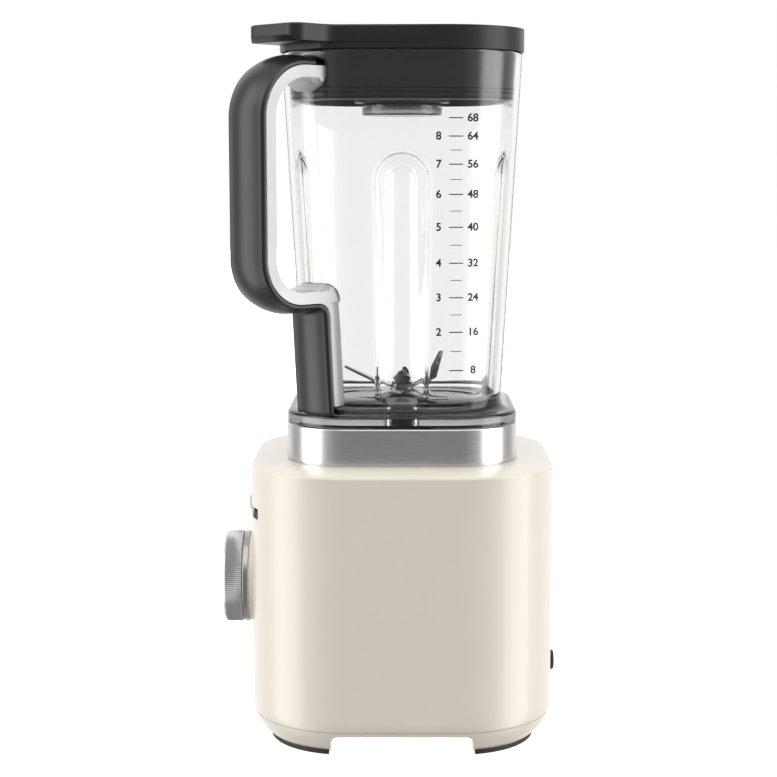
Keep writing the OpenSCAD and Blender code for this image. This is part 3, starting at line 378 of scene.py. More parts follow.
class Finish:
    """A material and the tree of nodes that gives it its detail."""

    def __init__(self, name, slot, **plain):
        self.slot = slot
        self.material = bpy.data.materials.new(name)
        self.material.use_nodes = True
        self.tree = self.material.node_tree
        self.shader = self.tree.nodes["Principled BSDF"]
        self.put(self.shader, {key.replace("_", " "): value for key, value in plain.items()})
        self.position = self.node("ShaderNodeTexCoord").outputs["Object"]

    def put(self, made, inputs):
        """Links or sets a node's sockets; a plain colour gets its alpha."""
        for key, value in inputs.items():
            socket = made.inputs[key]
            if isinstance(value, Signal):
                value = value.socket
            if isinstance(value, bpy.types.NodeSocket):
                self.tree.links.new(value, socket)
            elif socket.type == "RGBA" and len(value) == 3:
                socket.default_value = (*value, 1)
            else:
                socket.default_value = value

    def node(self, kind, settings=None, inputs=None):
        """Adds a node: its settings come first, then the values or links of its sockets."""
        made = self.tree.nodes.new(kind)
        for key, value in (settings or {}).items():
            setattr(made, key, value)
        self.put(made, inputs or {})
        return made

    def set(self, **inputs):
        """Links or sets the shader's own sockets."""
        self.put(self.shader, {key.replace("_", " "): value for key, value in inputs.items()})
        return self

    def stretched(self, scale):
        """Where a point lies on the piece, scaled along each axis."""
        return self.node("ShaderNodeMapping", {}, {"Vector": self.position, "Scale": scale}).outputs[0]

    def noise(self, size, detail=3.0, rough=0.55, where=None):
        """Noise whose blotches are about size metres wide."""
        made = self.node("ShaderNodeTexNoise", {}, {"Vector": where or self.position, "Scale": 1 / size,
                                                    "Detail": detail, "Roughness": rough})
        return Signal(self, made.outputs[0])

    def bands(self, scale, distortion):
        """Level stripes up a piece, as of wound wire or stacked sheets."""
        made = self.node("ShaderNodeTexWave", {"wave_type": "BANDS", "bands_direction": "Z"},
                         {"Vector": self.position, "Scale": scale, "Distortion": distortion})
        return Signal(self, made.outputs[1])

    def cells(self, size):
        made = self.node("ShaderNodeTexVoronoi", {}, {"Vector": self.position, "Scale": 1 / size})
        return Signal(self, made.outputs["Distance"])

    def blend(self, factor, first, second):
        made = self.node("ShaderNodeMix", {"data_type": "RGBA"}, {0: factor, 6: first, 7: second})
        return made.outputs[2]

    def bump(self, height, depth, strength):
        inputs = {"Height": height, "Distance": depth, "Strength": strength}
        return self.node("ShaderNodeBump", {}, inputs).outputs[0]

    def axes(self):
        made = self.node("ShaderNodeSeparateXYZ", {}, {0: self.position})
        return [Signal(self, made.outputs[i]) for i in range(3)]


plastic_ior = 1.49


def enamel():
    f = Finish("cream_enamel", "cream_shell", Coat_Weight=0.3, Coat_Roughness=0.12)
    peel = f.noise(0.0011, 2.0, 0.4)
    mottle = f.noise(0.035, 4.0, 0.6)
    f.set(Base_Color=f.blend(mottle.step(0.3, 0.7), (0.735, 0.685, 0.61), (0.75, 0.70, 0.627)),
          Roughness=mottle * 0.06 + 0.27, Normal=f.bump(peel, 0.00002, 0.5))
    return f


def soft_grip():
    f = Finish("soft_black_grip", "soft_black", Specular_IOR_Level=0.5)
    grain = f.noise(0.0004, 3.0, 0.6)
    patches = f.noise(0.02, 3.0, 0.5)
    f.set(Base_Color=f.blend(patches, (0.015, 0.015, 0.0155), (0.02, 0.02, 0.0205)),
          Roughness=patches * 0.06 + 0.3, Normal=f.bump(grain, 0.000003, 0.3))
    return f


def black_plastic(name, slot, roughness, tone=0.015):
    f = Finish(name, slot, Specular_IOR_Level=0.34)
    grain = f.noise(0.0004, 2.0, 0.5)
    patches = f.noise(0.03, 3.0, 0.5)
    f.set(Base_Color=f.blend(patches, (tone, tone, tone * 1.04), (tone * 1.25, tone * 1.25, tone * 1.3)),
          Roughness=patches * 0.06 + roughness, Normal=f.bump(grain, 0.000001, 0.3))
    return f


def rubber():
    f = Finish("matt_rubber", "black_rubber")
    grain = f.noise(0.0005, 3.0, 0.6)
    dust = f.noise(0.012, 4.0, 0.6)
    f.set(Base_Color=f.blend(dust, (0.012, 0.012, 0.012), (0.026, 0.026, 0.025)),
          Roughness=dust * 0.15 + 0.6, Normal=f.bump(grain, 0.00004, 0.7))
    return f


def brushed_collar():
    """Metal with fine brush lines that run level round the collar."""
    f = Finish("brushed_collar", "satin_metal", Metallic=1.0)
    lines = f.noise(0.0003, 3.0, 0.6, f.stretched((0.02, 0.02, 1.0)))
    cloud = f.noise(0.05, 2.0, 0.5)
    f.set(Base_Color=f.blend(lines.step(0.3, 0.7), (0.648, 0.648, 0.648), (0.72, 0.72, 0.72)),
          Roughness=lines * 0.08 + cloud * 0.03 + 0.18, Normal=f.bump(lines, 0.000006, 0.3))
    return f


def turned_metal(name, slot, tone, centre, axis="Y", metal=1.0):
    """Metal with the fine rings that a lathe leaves round an axis."""
    f = Finish(name, slot, Metallic=metal)
    x, y, z = f.axes()
    a, b = {"Y": (x - centre[0], z - centre[1]), "Z": (x - centre[0], y - centre[1])}[axis]
    radius = (a * a + b * b) ** 0.5
    where = f.node("ShaderNodeCombineXYZ", {}, {0: radius}).outputs[0]
    lines = f.noise(0.00035, 3.0, 0.7, where)
    cloud = f.noise(0.02, 3.0, 0.5)
    f.set(Base_Color=f.blend(lines.step(0.3, 0.7), tuple(c * 0.8 for c in tone), tone),
          Roughness=lines * 0.14 + cloud * 0.05 + 0.2, Normal=f.bump(lines, 0.00002, 0.4))
    return f


def cast_metal(name, slot, tone, roughness=0.5, grain_size=0.0015):
    f = Finish(name, slot, Metallic=1.0)
    grain = f.noise(grain_size, 4.0, 0.6)
    cloud = f.noise(0.015, 3.0, 0.5)
    f.set(Base_Color=f.blend(cloud, tuple(c * 0.8 for c in tone), tone),
          Roughness=grain * 0.15 + roughness - 0.07, Normal=f.bump(grain, 0.00005, 0.6))
    return f


def chrome():
    f = Finish("bright_chrome", "chrome_trim", Metallic=1.0, Base_Color=(0.36, 0.36, 0.37))
    haze = f.noise(0.012, 3.0, 0.5)
    f.set(Roughness=haze * 0.06 + 0.05)
    return f


# The default tones are darker than real stainless: painted shade for the dark inside of the jar that the
# blades reflect.
def blade_steel(name="ground_steel", dark=(0.2, 0.195, 0.19), light=(0.38, 0.37, 0.36)):
    f = Finish(name, "stainless", Metallic=1.0)
    lines = f.noise(0.0008, 3.0, 0.65, f.stretched((1.0, 0.25, 1.0)))
    cloud = f.noise(0.01, 3.0, 0.5)
    f.set(Base_Color=f.blend(lines, dark, light),
          Roughness=lines * 0.1 + cloud * 0.06 + 0.1, Normal=f.bump(lines, 0.00002, 0.4))
    return f


def clear_plastic(name, slot, tint):
    f = Finish(name, slot, Transmission_Weight=1.0, IOR=plastic_ior, Base_Color=tint)
    ripple = f.noise(0.03, 2.0, 0.5)
    haze = f.noise(0.01, 3.0, 0.5)
    f.set(Roughness=haze * 0.012, Normal=f.bump(ripple, 0.0002, 0.12))
    return f


def painted_light_core_plastic():
    """Thick clear plastic with a pale grey-white base colour and only part transmission: painted light for
    the white look that light filling the thick core gives it.
    """
    f = Finish("thick_core_plastic", "clear_jar", Transmission_Weight=0.4, IOR=plastic_ior)
    cloud = f.noise(0.03, 2.0, 0.5)
    f.set(Base_Color=f.blend(cloud, (0.86, 0.86, 0.86), (0.92, 0.92, 0.915)), Roughness=cloud * 0.05 + 0.1)
    return f


def printed_ink():
    f = Finish("printed_ink", "soft_black")
    speck = f.noise(0.0004, 2.0, 0.5)
    f.set(Base_Color=f.blend(speck, (0.012, 0.012, 0.012), (0.025, 0.025, 0.025)),
          Roughness=speck * 0.1 + 0.45)
    return f


def wound_copper():
    f = Finish("wound_copper", "copper_wire", Metallic=0.9)
    strand = f.bands(300.0, 1.5)
    f.set(Base_Color=f.blend(strand, (0.3, 0.1, 0.035), (0.72, 0.32, 0.14)), Roughness=0.25 + strand * 0.2,
          Normal=f.bump(strand, 0.0001, 0.8))
    return f


def stacked_steel():
    f = Finish("stacked_laminations", "lamination", Metallic=0.7)
    sheet = f.bands(320.0, 0.3)
    f.set(Base_Color=f.blend(sheet, (0.08, 0.085, 0.1), (0.24, 0.25, 0.27)), Roughness=0.35 + sheet * 0.2,
          Normal=f.bump(sheet, 0.00006, 0.7))
    return f


def board():
    f = Finish("solder_masked_board", "board_green")
    tracks = f.cells(0.006)
    edge = tracks.step(0.35, 0.4)
    f.set(Base_Color=f.blend(edge, (0.012, 0.1, 0.045), (0.02, 0.17, 0.08)),
          Roughness=0.35 + tracks * 0.1, Normal=f.bump(edge, 0.00004, 0.5))
    return f


def moulded(name, slot, tone, roughness=0.4):
    f = Finish(name, slot)
    grain = f.noise(0.001, 3.0, 0.5)
    f.set(Base_Color=f.blend(f.noise(0.02), tuple(c * 0.85 for c in tone), tone),
          Roughness=grain * 0.1 + roughness, Normal=f.bump(grain, 0.00003, 0.5))
    return f


cream = enamel()
grip_black = soft_grip()
lid_black = black_plastic("satin_black_lid", "charcoal", 0.3, 0.02)
charcoal = black_plastic("charcoal_plastic", "charcoal", 0.4)
# Gloss black for the layers under the clear foot: partly the jar's black base, partly painted shade.
gloss_black = black_plastic("black_base_and_painted_shade", "charcoal", 0.05, 0.006)
ink = printed_ink()
matt_rubber = rubber()
seal_rubber = black_plastic("dark_seal_rubber", "black_rubber", 0.7, 0.003)
collar_metal = brushed_collar()
dial_metal = turned_metal("turned_dial", "satin_metal", (0.66, 0.66, 0.66), (0.0, dial_z * MM), metal=0.7)
bezel_metal = turned_metal("polished_bezel", "satin_metal", (0.55, 0.545, 0.54), (0.0, dial_z * MM))
bright_chrome = chrome()
# The blades wear the darkened default tones, a painted shade.
steel = blade_steel()
hub_steel = blade_steel("darkened_hub_steel", (0.05, 0.05, 0.05), (0.12, 0.12, 0.12))
jar_clear = clear_plastic("clear_jar_plastic", "clear_jar", (0.972, 0.966, 0.96))
# The core's pale grey-white colour is painted light, not a milky plastic.
core_clear = painted_light_core_plastic()
smoke = clear_plastic("smoky_cap_plastic", "smoke_clear", (0.32, 0.32, 0.33))
screw_metal = turned_metal("plated_steel", "screw_steel", (0.5, 0.5, 0.51), (0.0, 0.0), "Z")
alloy = cast_metal("cast_alloy", "cast_alloy", (0.5, 0.51, 0.52))
bearing_bronze = cast_metal("sintered_bronze", "bronze", (0.5, 0.32, 0.13), 0.45, 0.0006)
copper = wound_copper()
laminations = stacked_steel()
carbon = moulded("pressed_carbon", "carbon", (0.03, 0.03, 0.03), 0.5)
green_board = board()
blue_case = moulded("blue_switch_case", "part_blue", (0.05, 0.16, 0.32))
amber_case = moulded("amber_film_case", "part_amber", (0.6, 0.42, 0.08), 0.25)

# Solids that no piece replaces wear the finish of their slot.
slot_finish = {f.slot: f for f in (
    cream, grip_black, charcoal, matt_rubber, collar_metal, bright_chrome, steel, jar_clear, smoke,
    screw_metal, alloy, bearing_bronze, copper, laminations, carbon, green_board, blue_case, amber_case)}
for subpart in frame["record"]["subparts"]:
    solid = nodes[subpart["node"]]
    solid.data.materials.clear()
    solid.data.materials.append(slot_finish[subpart["material_slot"]].material)

# ---- housing -----------------------------------------------------------------


def tuck_x(z):
    """The housing's reach at a height, from its corner centre: it draws in to its foot."""
    return body_corner - tuck_r + sqrt(tuck_r ** 2 - max(tuck_z - z, 0) ** 2)


def housing_piece():
    """The shell: up its outside, over the domed deck, down through the deck's hole and down the inside."""
    flat_x = collar_half + 3.2 - body_c
    run_x = body_corner - flat_x
    dome_r = (run_x ** 2 + deck_rise ** 2) / (2 * deck_rise)
    dome_z = deck_z - dome_r
    dx = run_x - rim_r
    dz = sqrt((dome_r - rim_r) ** 2 - dx ** 2)
    turn = degrees(atan2(dz, dx))
    foot_x = tuck_x(split_z)
    middle = 4.0
    outer = [(foot_x - 0.7, split_z), (foot_x - 0.2, split_z + 0.15), (tuck_x(split_z + 0.6), split_z + 0.6)]
    outer += [(tuck_x(z), z) for z in tuck_levels]
    outer += [(body_corner, z) for z in (27.0, mid_z, dome_z + dz - 3)]
    outer += arc(body_corner - rim_r, dome_z + dz, rim_r, 0, turn, 7)
    outer += arc(flat_x, dome_z, dome_r, turn, 90, 8)[1:]
    outer += [(flat_x - 4, deck_z), (middle, deck_z)]
    rings = square_rings(outer, body_c, 24)
    rings += [round_ring(rings[-1], r, z) for r, z in (
        (deck_hole_r + 0.6, deck_z), (deck_hole_r, deck_z - 0.6), (deck_hole_r, cavity_top))]
    inner_x, inner_r = body_corner - wall, 4
    inner = [(middle, cavity_top)] + arc(inner_x - inner_r, cavity_top - inner_r, inner_r, 90, 0, 4)
    inner += [(inner_x, mid_z), (inner_x, split_z)]
    shell = loft(rings + square_rings(inner, body_c, 24), loop=True)
    boss_r, boss_h = dial_r - 0.5, 3.8
    boss = turned([(0, -2.0), (boss_r, -2.0), (boss_r, boss_h - 0.4), (boss_r - 0.4, boss_h),
                   (0, boss_h)], 128)
    shell = combined(shell, moved(boss, facing_front(-body_half, dial_z)), "UNION")
    opening = block((lever_w + 0.6, 20, lever_t + 2.1), (0, -body_half, lever_z))
    return combined(shell, opening, "DIFFERENCE")


place(housing_piece(), "housing_shell", "base", cream, ["housing"])
place(softened("bottom_cover", 0.0), "bottom_shell", "base", cream, ["bottom_cover"])
place(softened("rubber_feet", 0.0), "feet", "base", matt_rubber, ["rubber_feet"])

# ---- collar ------------------------------------------------------------------


def collar_piece():
    """The collar's wall, with a rounded top edge and an undercut foot."""
    outer_x, inner_x = collar_corner, collar_corner - collar_t
    outer_r, inner_r = 1.0, 0.6
    undercut, undercut_h = 1.2, 0.7
    profile = [(outer_x - undercut, deck_z), (outer_x - undercut, deck_z + undercut_h),
               (outer_x, deck_z + undercut_h + 0.2), (outer_x, deck_z + 10)]
    profile += arc(outer_x - outer_r, collar_top - outer_r, outer_r, 0, 90, 5)
    profile += arc(inner_x + inner_r, collar_top - inner_r, inner_r, 90, 180, 3)
    profile += [(inner_x, deck_z + 10), (inner_x, deck_z)]
    return loft(square_rings(profile, collar_c, 28), loop=True)


place(collar_piece(), "metal_collar", "base", collar_metal, ["collar"])

# ---- dial --------------------------------------------------------------------


def dial_ring(radius, z, ribs):
    """A ring with ribs of a depth, four points to each."""
    count = dial_ribs * 4
    ring = []
    for i in range(count):
        r = radius - ribs * (0.5 - 0.5 * cos(2 * pi * i / 4))
        ring.append(Vector((r * cos(2 * pi * i / count), r * sin(2 * pi * i / count), z)))
    return ring


def knob_piece():
    """The knob, from its rear edge over the ribs to its dished front: (height, inset, depth of the ribs)."""
    length = knob_y - knob_front_y
    dish = 1.4
    rear = ((0.0, 1.2, 0.0), (0.3, 0.7, 0.0), (0.8, 0.05, 0.5), (length * 0.5, 0.0, 0.62))
    front = ((1.3, 0.0, 0.62), (1.0, 0.1, 0.5), (0.75, 0.75, 0.0), (0.2, 0.9, 0.0), (0.0, 1.15, 0.0),
             (0.0, 2.6, 0.0), (0.15, 2.9, 0.0), (dish, 3.0, 0.0), (dish, dial_r - 6.0, 0.0))
    rings = [dial_ring(dial_r - inset, z, ribs) for z, inset, ribs in rear]
    rings += [dial_ring(dial_r - inset, length - z, ribs) for z, inset, ribs in front]
    return moved(loft(rings), facing_front(knob_y, dial_z))


def dial_face_piece():
    """The plate in the knob's front, with a pointer groove."""
    r = dial_r - 3.1
    profile = [(0, 0), (r, 0), (r, 0.85), (r - 0.3, 1.05), (dial_r - 9, 1.25), (0, 1.3)]
    groove = block((1.5, 8, 2), (0, dial_r - 9, 1.7))
    face = combined(turned(profile, 128), groove, "DIFFERENCE")
    return moved(face, facing_front(knob_front_y + 1.4, dial_z))


def bezel_piece():
    """The smooth ring between the housing and the knob."""
    length = bezel_y - low("dial_bezel").y
    bore = dial_r - 8
    profile = [(bore, 0), (dial_r - 0.4, 0), (dial_r, 0.4), (dial_r, length - 0.5), (dial_r - 0.5, length),
               (bore, length)]
    return moved(turned(profile, 128, closed=True), facing_front(bezel_y, dial_z))


place(knob_piece(), "ribbed_dial", "dial", dial_metal, ["dial_knob"], smooth=50)
place(dial_face_piece(), "dial_face_plate", "dial", dial_metal, ["dial_face"])
place(bezel_piece(), "dial_bezel_ring", "base", bezel_metal, ["dial_bezel"])

# ---- start lever -------------------------------------------------------------


def lever_piece():
    """A bowed bar whose nose is rounded and has a shallow groove along it, and the solid's own rear."""
    half = lever_w / 2
    bow_r = (half ** 2 + lever_bow ** 2) / (2 * lever_bow)
    span = degrees(acos((bow_r - lever_bow) / bow_r))
    first, last = -90 - span + 0.4, -90 + span - 0.4
    h = lever_t / 2
    nose = [(1.5, h), (0.8, h - 0.12), (0.3, h - 0.45), (0.06, h - 0.9), (0.1, h - 1.25), (0.42, h - 1.6)]
    section = nose + [(0.5, 0)] + [(d, -z) for d, z in reversed(nose)]
    centre_y = lever_front_y + bow_r
    back = -body_half + wall - 0.4
    rings = []
    for a in spread(first, last, 64) + [last]:
        aim = Vector((cos(radians(a)), sin(radians(a)), 0))
        ring = [aim * (bow_r - d) + Vector((0, centre_y, lever_z + z)) for d, z in section]
        ends = [Vector((ring[i].x, back, lever_z + z)) for i, z in ((0, h), (-1, -h))]
        rings.append(ends[:1] + ring + ends[1:])
    overlap, depth = 0.15, 40
    inside = block((lever_w + 10, depth, 20), (0, back + (depth / 2 - overlap), lever_z))
    rear = combined(softened("start_lever", 0.0), inside, "INTERSECT")
    return together(loft(rings), rear)


place(lever_piece(), "chrome_lever", "lever", bright_chrome, ["start_lever"])

# ---- cord gland --------------------------------------------------------------


def gland_piece():
    """A round gland with a rounded mouth and a bore for a cord."""
    bottom, top = low("cord_gland"), high("cord_gland")
    r, out, bore = top.x, top.y - body_half, 3.6
    profile = [(bore, -9), (5.0, -9), (5.0, -0.2), (r - 0.3, -0.05), (r, 0.3), (r, out - 1.6)]
    profile += arc(r - 1.5, out - 1.5, 1.5, 0, 90, 5) + [(bore + 0.6, out), (bore, out - 0.6)]
    return moved(turned(profile, 64, closed=True), facing_rear(body_half, (top.z + bottom.z) / 2))


place(gland_piece(), "rear_gland", "base", charcoal, ["cord_gland"])

# ---- jar ---------------------------------------------------------------------

press_half = 18.0
flat_columns = spread(-jar_c, -press_half, 4)
side_columns = flat_columns + spread(-press_half, press_half, 60)
side_columns += [-c for c in reversed(flat_columns)]
corner_columns = 16
# The rings of the walls are closest between these two heights, where the flutes end.
dome_low, dome_high = 326.0, 352.0


def soft_positive(value, ease=3.4):
    """The value where it is positive and 0 elsewhere, with a rounded step between."""
    return value if value > ease else max(value + ease, 0.0) ** 2 / (4 * ease)


def press(y, z, inner):
    """How far a flute pushes the wall in, at a distance from the flute's middle."""
    extra = jar_wall if inner else 0
    above = max(z - flute_end_z, 0)
    axis = flute_offset + extra + taper * (0.5 * max(flute_end_z - z, 0) - above)
    reach = (flute_r + extra) ** 2 - y ** 2 - above ** 2
    return soft_positive((sqrt(reach) if reach > 0 else -sqrt(-reach)) - axis)


def jar_ring(z, half, c, pressed=None, drop=0.0, fade=1.0):
    """One ring of the jar: pressed says which skin the flutes push, drop and fade make them shallower."""
    quarter = []
    for y in side_columns[:-1]:
        depth = max(press(y, z, pressed) - drop, 0) * fade if pressed is not None else 0.0
        quarter.append((half - depth, y * c / jar_c))
    return four_sides(quarter + arc(c, c, half - c, 0, 90, corner_columns)[:-1], z)


def jar_walls():
    """Rings up the outside, over the lip and down the inside."""
    lip, wall_low, wall_high = 1.1, 208.0, jar_top - 1.2
    heights = spread(wall_low, dome_low, 22) + spread(dome_low, dome_high, 34)
    heights += spread(dome_high, wall_high, 7) + [wall_high]
    mouth = jar_half(jar_top)
    over = arc(mouth - lip, jar_top - lip, lip, 0, 90, 3)[1:]
    over += arc(mouth - jar_wall + lip, jar_top - lip, lip, 90, 180, 3)
    rings = [jar_ring(z, jar_half(z), jar_c, False) for z in heights]
    rings += [jar_ring(z, x, jar_c) for x, z in over]
    return rings + [jar_ring(z, jar_half(z) - jar_wall, jar_c, True) for z in reversed(heights[:-1])]


def jar_floor():
    """Rings round the fillet, in to the hub's hole and down through it."""
    fillet = 8.0
    foot_z = floor_top + fillet
    wall_x = jar_half(foot_z) - jar_wall
    rings = []
    for a in range(0, 91, 15):
        inset = fillet * (1 - cos(radians(a)))
        rings.append(jar_ring(foot_z - fillet * sin(radians(a)), wall_x - inset, jar_c, True, inset))
    rings += [jar_ring(floor_top, half, jar_c) for half in (44.0, 36.0)]
    return rings + [round_ring(rings[-1], r, z) for r, z in (
        (hub_r + 8, floor_top), (hub_r, floor_top), (hub_r, floor_z), (hub_r + 8, floor_z))]


def jar_foot():
    """Rings out along the underside, down and up the skirt, round the flange and up the neck."""
    top = flange_z + flange_t
    edge, inside, bevel = 0.7, skirt_half - 3, 0.5
    profile = [(40.0, floor_z), (inside, floor_z), (inside, skirt_z + bevel), (inside + bevel, skirt_z),
               (skirt_half - bevel, skirt_z), (skirt_half, skirt_z + bevel), (skirt_half, flange_z)]
    profile += arc(flange_half - edge, flange_z + edge, edge, -90, 0, 2)
    profile += arc(flange_half - flange_r, top - flange_r, flange_r, 0, 90, 5)
    rings = [jar_ring(z, half, collar_c) for half, z in profile]
    rings += [jar_ring(top + up, half, c) for up, half, c in (
        (0.15, 63.6, collar_c), (0.7, 61.8, 28.6), (1.7, 60.5, 27.6), (3.2, 59.6, 26.6), (5.2, 59.15, 25.6))]
    return rings + [jar_ring(z, jar_half(z), jar_c, False, 0, fade)
                    for z, fade in ((205.0, 0.4), (206.6, 0.8))]


def jar_piece():
    """The clear jar in one closed loop of rings."""
    return loft(jar_walls() + jar_floor() + jar_foot(), loop=True)


# The handle is drawn outward along X and turned to its corner of the jar.
to_corner = Matrix.Rotation(-pi / 4, 4, "Z")


def core_outline():
    """The clear core of the handle in its plane (outward, up): its back, then its inner side."""
    root, ease = 3.0, 2.0
    rt, rl = bend_top - fit, bend_low - fit
    top, bottom = upper_z - fit, lower_z + fit
    out = grip_out - fit
    inner_top, inner_low, inner_out = upper_z - core_t, lower_z + core_t, grip_out - core_t
    back = [(jar_rho(top) - root, top)] + arc(out - rt, top - rt, rt, 90, 0, 20)
    back += arc(out - rl, bottom + rl, rl, 0, -90, 18)
    column = jar_rho(bottom - bend_in) + back_gap - fit
    back += arc(column + bend_in, bottom - bend_in, bend_in, 90, 180, 8)
    back += [(jar_rho(bottom - bend_in) - root, bottom - bend_in),
             (jar_rho(inner_low) - root, inner_low + ease)]
    low_r, top_r = bend_low - core_t, bend_top - core_t
    x = jar_rho(inner_low + ease)
    inner = arc(x + ease, inner_low + ease, ease, 180, 270, 8)
    inner += arc(inner_out - low_r, inner_low + low_r, low_r, -90, 0, 14)
    inner += arc(inner_out - top_r, inner_top - top_r, top_r, 0, 90, 14)
    x = jar_rho(inner_top - ease)
    inner += arc(x + ease, inner_top - ease, ease, 90, 180, 8)
    return back, inner + [(jar_rho(inner_top) - root, inner_top - ease)]


def root_ring(z, fillet, out):
    """A level ring of the block that blends the column into the jar's corner."""
    radius = jar_half(z) - jar_c
    half = grip_w / 2 - 0.02
    aim = asin((half + fillet) / (radius + fillet))
    fx = corner_out + (radius + fillet) * cos(aim)
    out = max(out, fx + 0.4)
    side = [(corner_out + (radius - 1.5) * cos(aim), (radius - 1.5) * sin(aim))]
    side += arc(fx, half + fillet, fillet, 180 + degrees(aim), 270, 6)
    side += [(out - 0.3, half), (out, half - 0.3)]
    return [Vector((x, y, z)) for x, y in side + [(x, -y) for x, y in reversed(side)]]


# How each arm blends into the jar: distance out, half width, reach from the arm's outer face, corner radius.
upper_root = ((-2.5, 14.98, 14.5, 11.0), (0.3, 14.98, 14.0, 10.5), (2.0, 14.98, 12.5, 9.0),
              (5.0, 14.98, 10.4, 6.5), (9.0, 14.98, 8.2, 4.0), (14.0, 14.98, 7.1, 2.2))
lower_root = ((-2.5, 16.4, 11.0, 8.0), (0.3, 16.2, 10.6, 7.5), (2.0, 15.7, 9.6, 6.0),
              (5.0, 15.2, 8.2, 4.0), (9.0, 14.98, 7.4, 3.0), (14.0, 14.98, 7.1, 2.2))


def root_shape(out, half, flat, end, corner):
    """A ring at a distance from the jar's corner: level at flat and rounded at end."""
    way = 1 if end > flat else -1
    round_end = arc(half - corner, 0, corner, 0, 90, 8)
    side = [(half, flat)] + [(y, end + way * (z - corner)) for y, z in round_end]
    return [Vector((corner_out + sqrt((jar_half(z) - jar_c) ** 2 - y * y) + out, y, z))
            for y, z in side + [(-y, z) for y, z in reversed(side)]]


def core_piece():
    """The clear core of the handle, with its inner edges rounded and its roots blended into the jar."""
    back, inner = core_outline()
    exposed = {(round(x, 2), round(z, 2)) for x, z in inner}

    def is_inner(edge):
        a, b = (vert.co for vert in edge.verts)
        return abs(a.y - b.y) < 0.01 and all((round(co.x, 2), round(co.z, 2)) in exposed for co in (a, b))

    bm = loft([[Vector((x, y, z)) for x, z in back + inner] for y in (-grip_w / 2, grip_w / 2)])
    eased(bm, 2.2, 5, 60, is_inner)
    column = loft([root_ring(z, fillet, jar_rho(min(z, lower_z - bend_in)) + back_gap - fit)
                   for z, fillet in ((202.5, 4.0), (225.0, 4.0), (250.0, 3.8), (258.0, 3.4), (266.0, 2.7))])
    whole = combined(bm, column, "UNION")
    for steps, face, way in ((upper_root, upper_z, -1), (lower_root, lower_z, 1)):
        root = loft([root_shape(out, half, face + way * 0.4, face + way * reach, corner)
                     for out, half, reach, corner in steps])
        whole = combined(whole, root, "UNION")
    return moved(whole, to_corner)


place(jar_piece(), "clear_jar", "jar", jar_clear, ["jar"], smooth=40)
place(core_piece(), "clear_core", "jar", core_clear, ["handle_core"], smooth=40)


def foot_plate_piece():
    """Thin black layers on the underside of the clear floor and of the flange: partly the jar's black base,
    partly painted shade that darkens the clear foot where the seat pad and the shade under it are seen
    through.
    """
    under, upper = -0.05, 0.25
    floor_x = skirt_half - 3.6 - collar_c
    floor = square_rings([(floor_x, floor_z + up) for up in (under, upper)], collar_c, 12)
    floor += [round_ring(floor[0], hub_r + 0.4, floor_z + up) for up in (upper, under)]
    out, inside = flange_half - 1.0 - collar_c, skirt_half + 0.2 - collar_c
    rim = square_rings([(x, flange_z + up) for x, up in (
        (out, under), (out, upper), (inside, upper), (inside, under))], collar_c, 12)
    return together(loft(floor, loop=True), loft(rim, loop=True))


# These black layers are partly painted shade seen through the clear foot.
place(foot_plate_piece(), "foot_plate", "jar", gloss_black)

# ---- soft grip ---------------------------------------------------------------


def grip_path():
    """(outward, up, normal outward, normal up) along the back of the grip."""
    path = [(jar_rho(upper_z) + 2.6, upper_z, 0.0, 1.0)]
    for centre, radius, start, end, side in (
            ((grip_out - bend_top, upper_z - bend_top), bend_top, 90, 0, 1),
            ((grip_out - bend_low, lower_z + bend_low), bend_low, 0, -90, 1),
            ((jar_rho(lower_z) + back_gap + bend_in, lower_z - bend_in), bend_in, 90, 180, -1)):
        for x, z in arc(*centre, radius, start, end, 20):
            path.append((x, z, side * (x - centre[0]) / radius, side * (z - centre[1]) / radius))
    path.append((jar_rho(grip_foot_z) + back_gap, grip_foot_z, 1.0, 0.0))
    return path


def grip_section():
    """The grip's section, as (across, up): flat against the core, with rounded edges and a crowned back."""
    half, edge, chamfer, steps = grip_w / 2, 2.4, 0.6, 12
    inner = half - edge
    points = [(-half + chamfer, 0.0), (-half, chamfer)] + arc(-inner, grip_t - edge, edge, 180, 90, 6)
    for i in range(1, steps):
        way = 2 * i / steps - 1
        points.append((inner * way, grip_t + grip_crown * (1 - way ** 2)))
    points += arc(inner, grip_t - edge, edge, 90, 0, 6)
    return points + [(half, chamfer), (half - chamfer, 0.0)]


def grip_piece():
    """The soft grip: its section swept along the back of the core and down the column."""
    section = grip_section()
    rings = [[Vector((x + nx * up, across, z + nz * up)) for across, up in section]
             for x, z, nx, nz in grip_path()]
    return moved(loft(rings), to_corner)


place(grip_piece(), "soft_grip", "jar", grip_black, ["handle_grip"], smooth=40)

# ---- printed scale -----------------------------------------------------------


def on_wall(y, z, out=0.0):
    """A point on the outside of the +X wall and its corner, at a distance y across."""
    x = jar_half(z) + out
    if y <= jar_c:
        return Vector((x, y, z))
    r = jar_half(z) - jar_c
    turn = min((y - jar_c) / r, 1)
    angle = 0.0 if turn <= 0 else atan2(turn, sqrt(max(1 - turn * turn, 0)))
    return Vector((jar_c + (r + out) * cos(angle), jar_c + (r + out) * sin(angle), z))


# The ink stands this far out of the wall, and starts this far inside it.
ink_t = 0.08
ink_in = 0.02
digit_size = 4.3 * 1.45


def tick(z, y0, y1, thick):
    """A printed line across the wall."""
    rows = [[(y, z + side * thick / 2) for y in spread(y0, y1, 8) + [y1]] for side in (-1, 1)]
    outline = rows[0] + rows[1][::-1]
    return loft([[on_wall(y, z_at, out) for y, z_at in outline] for out in (-ink_in, ink_t)])


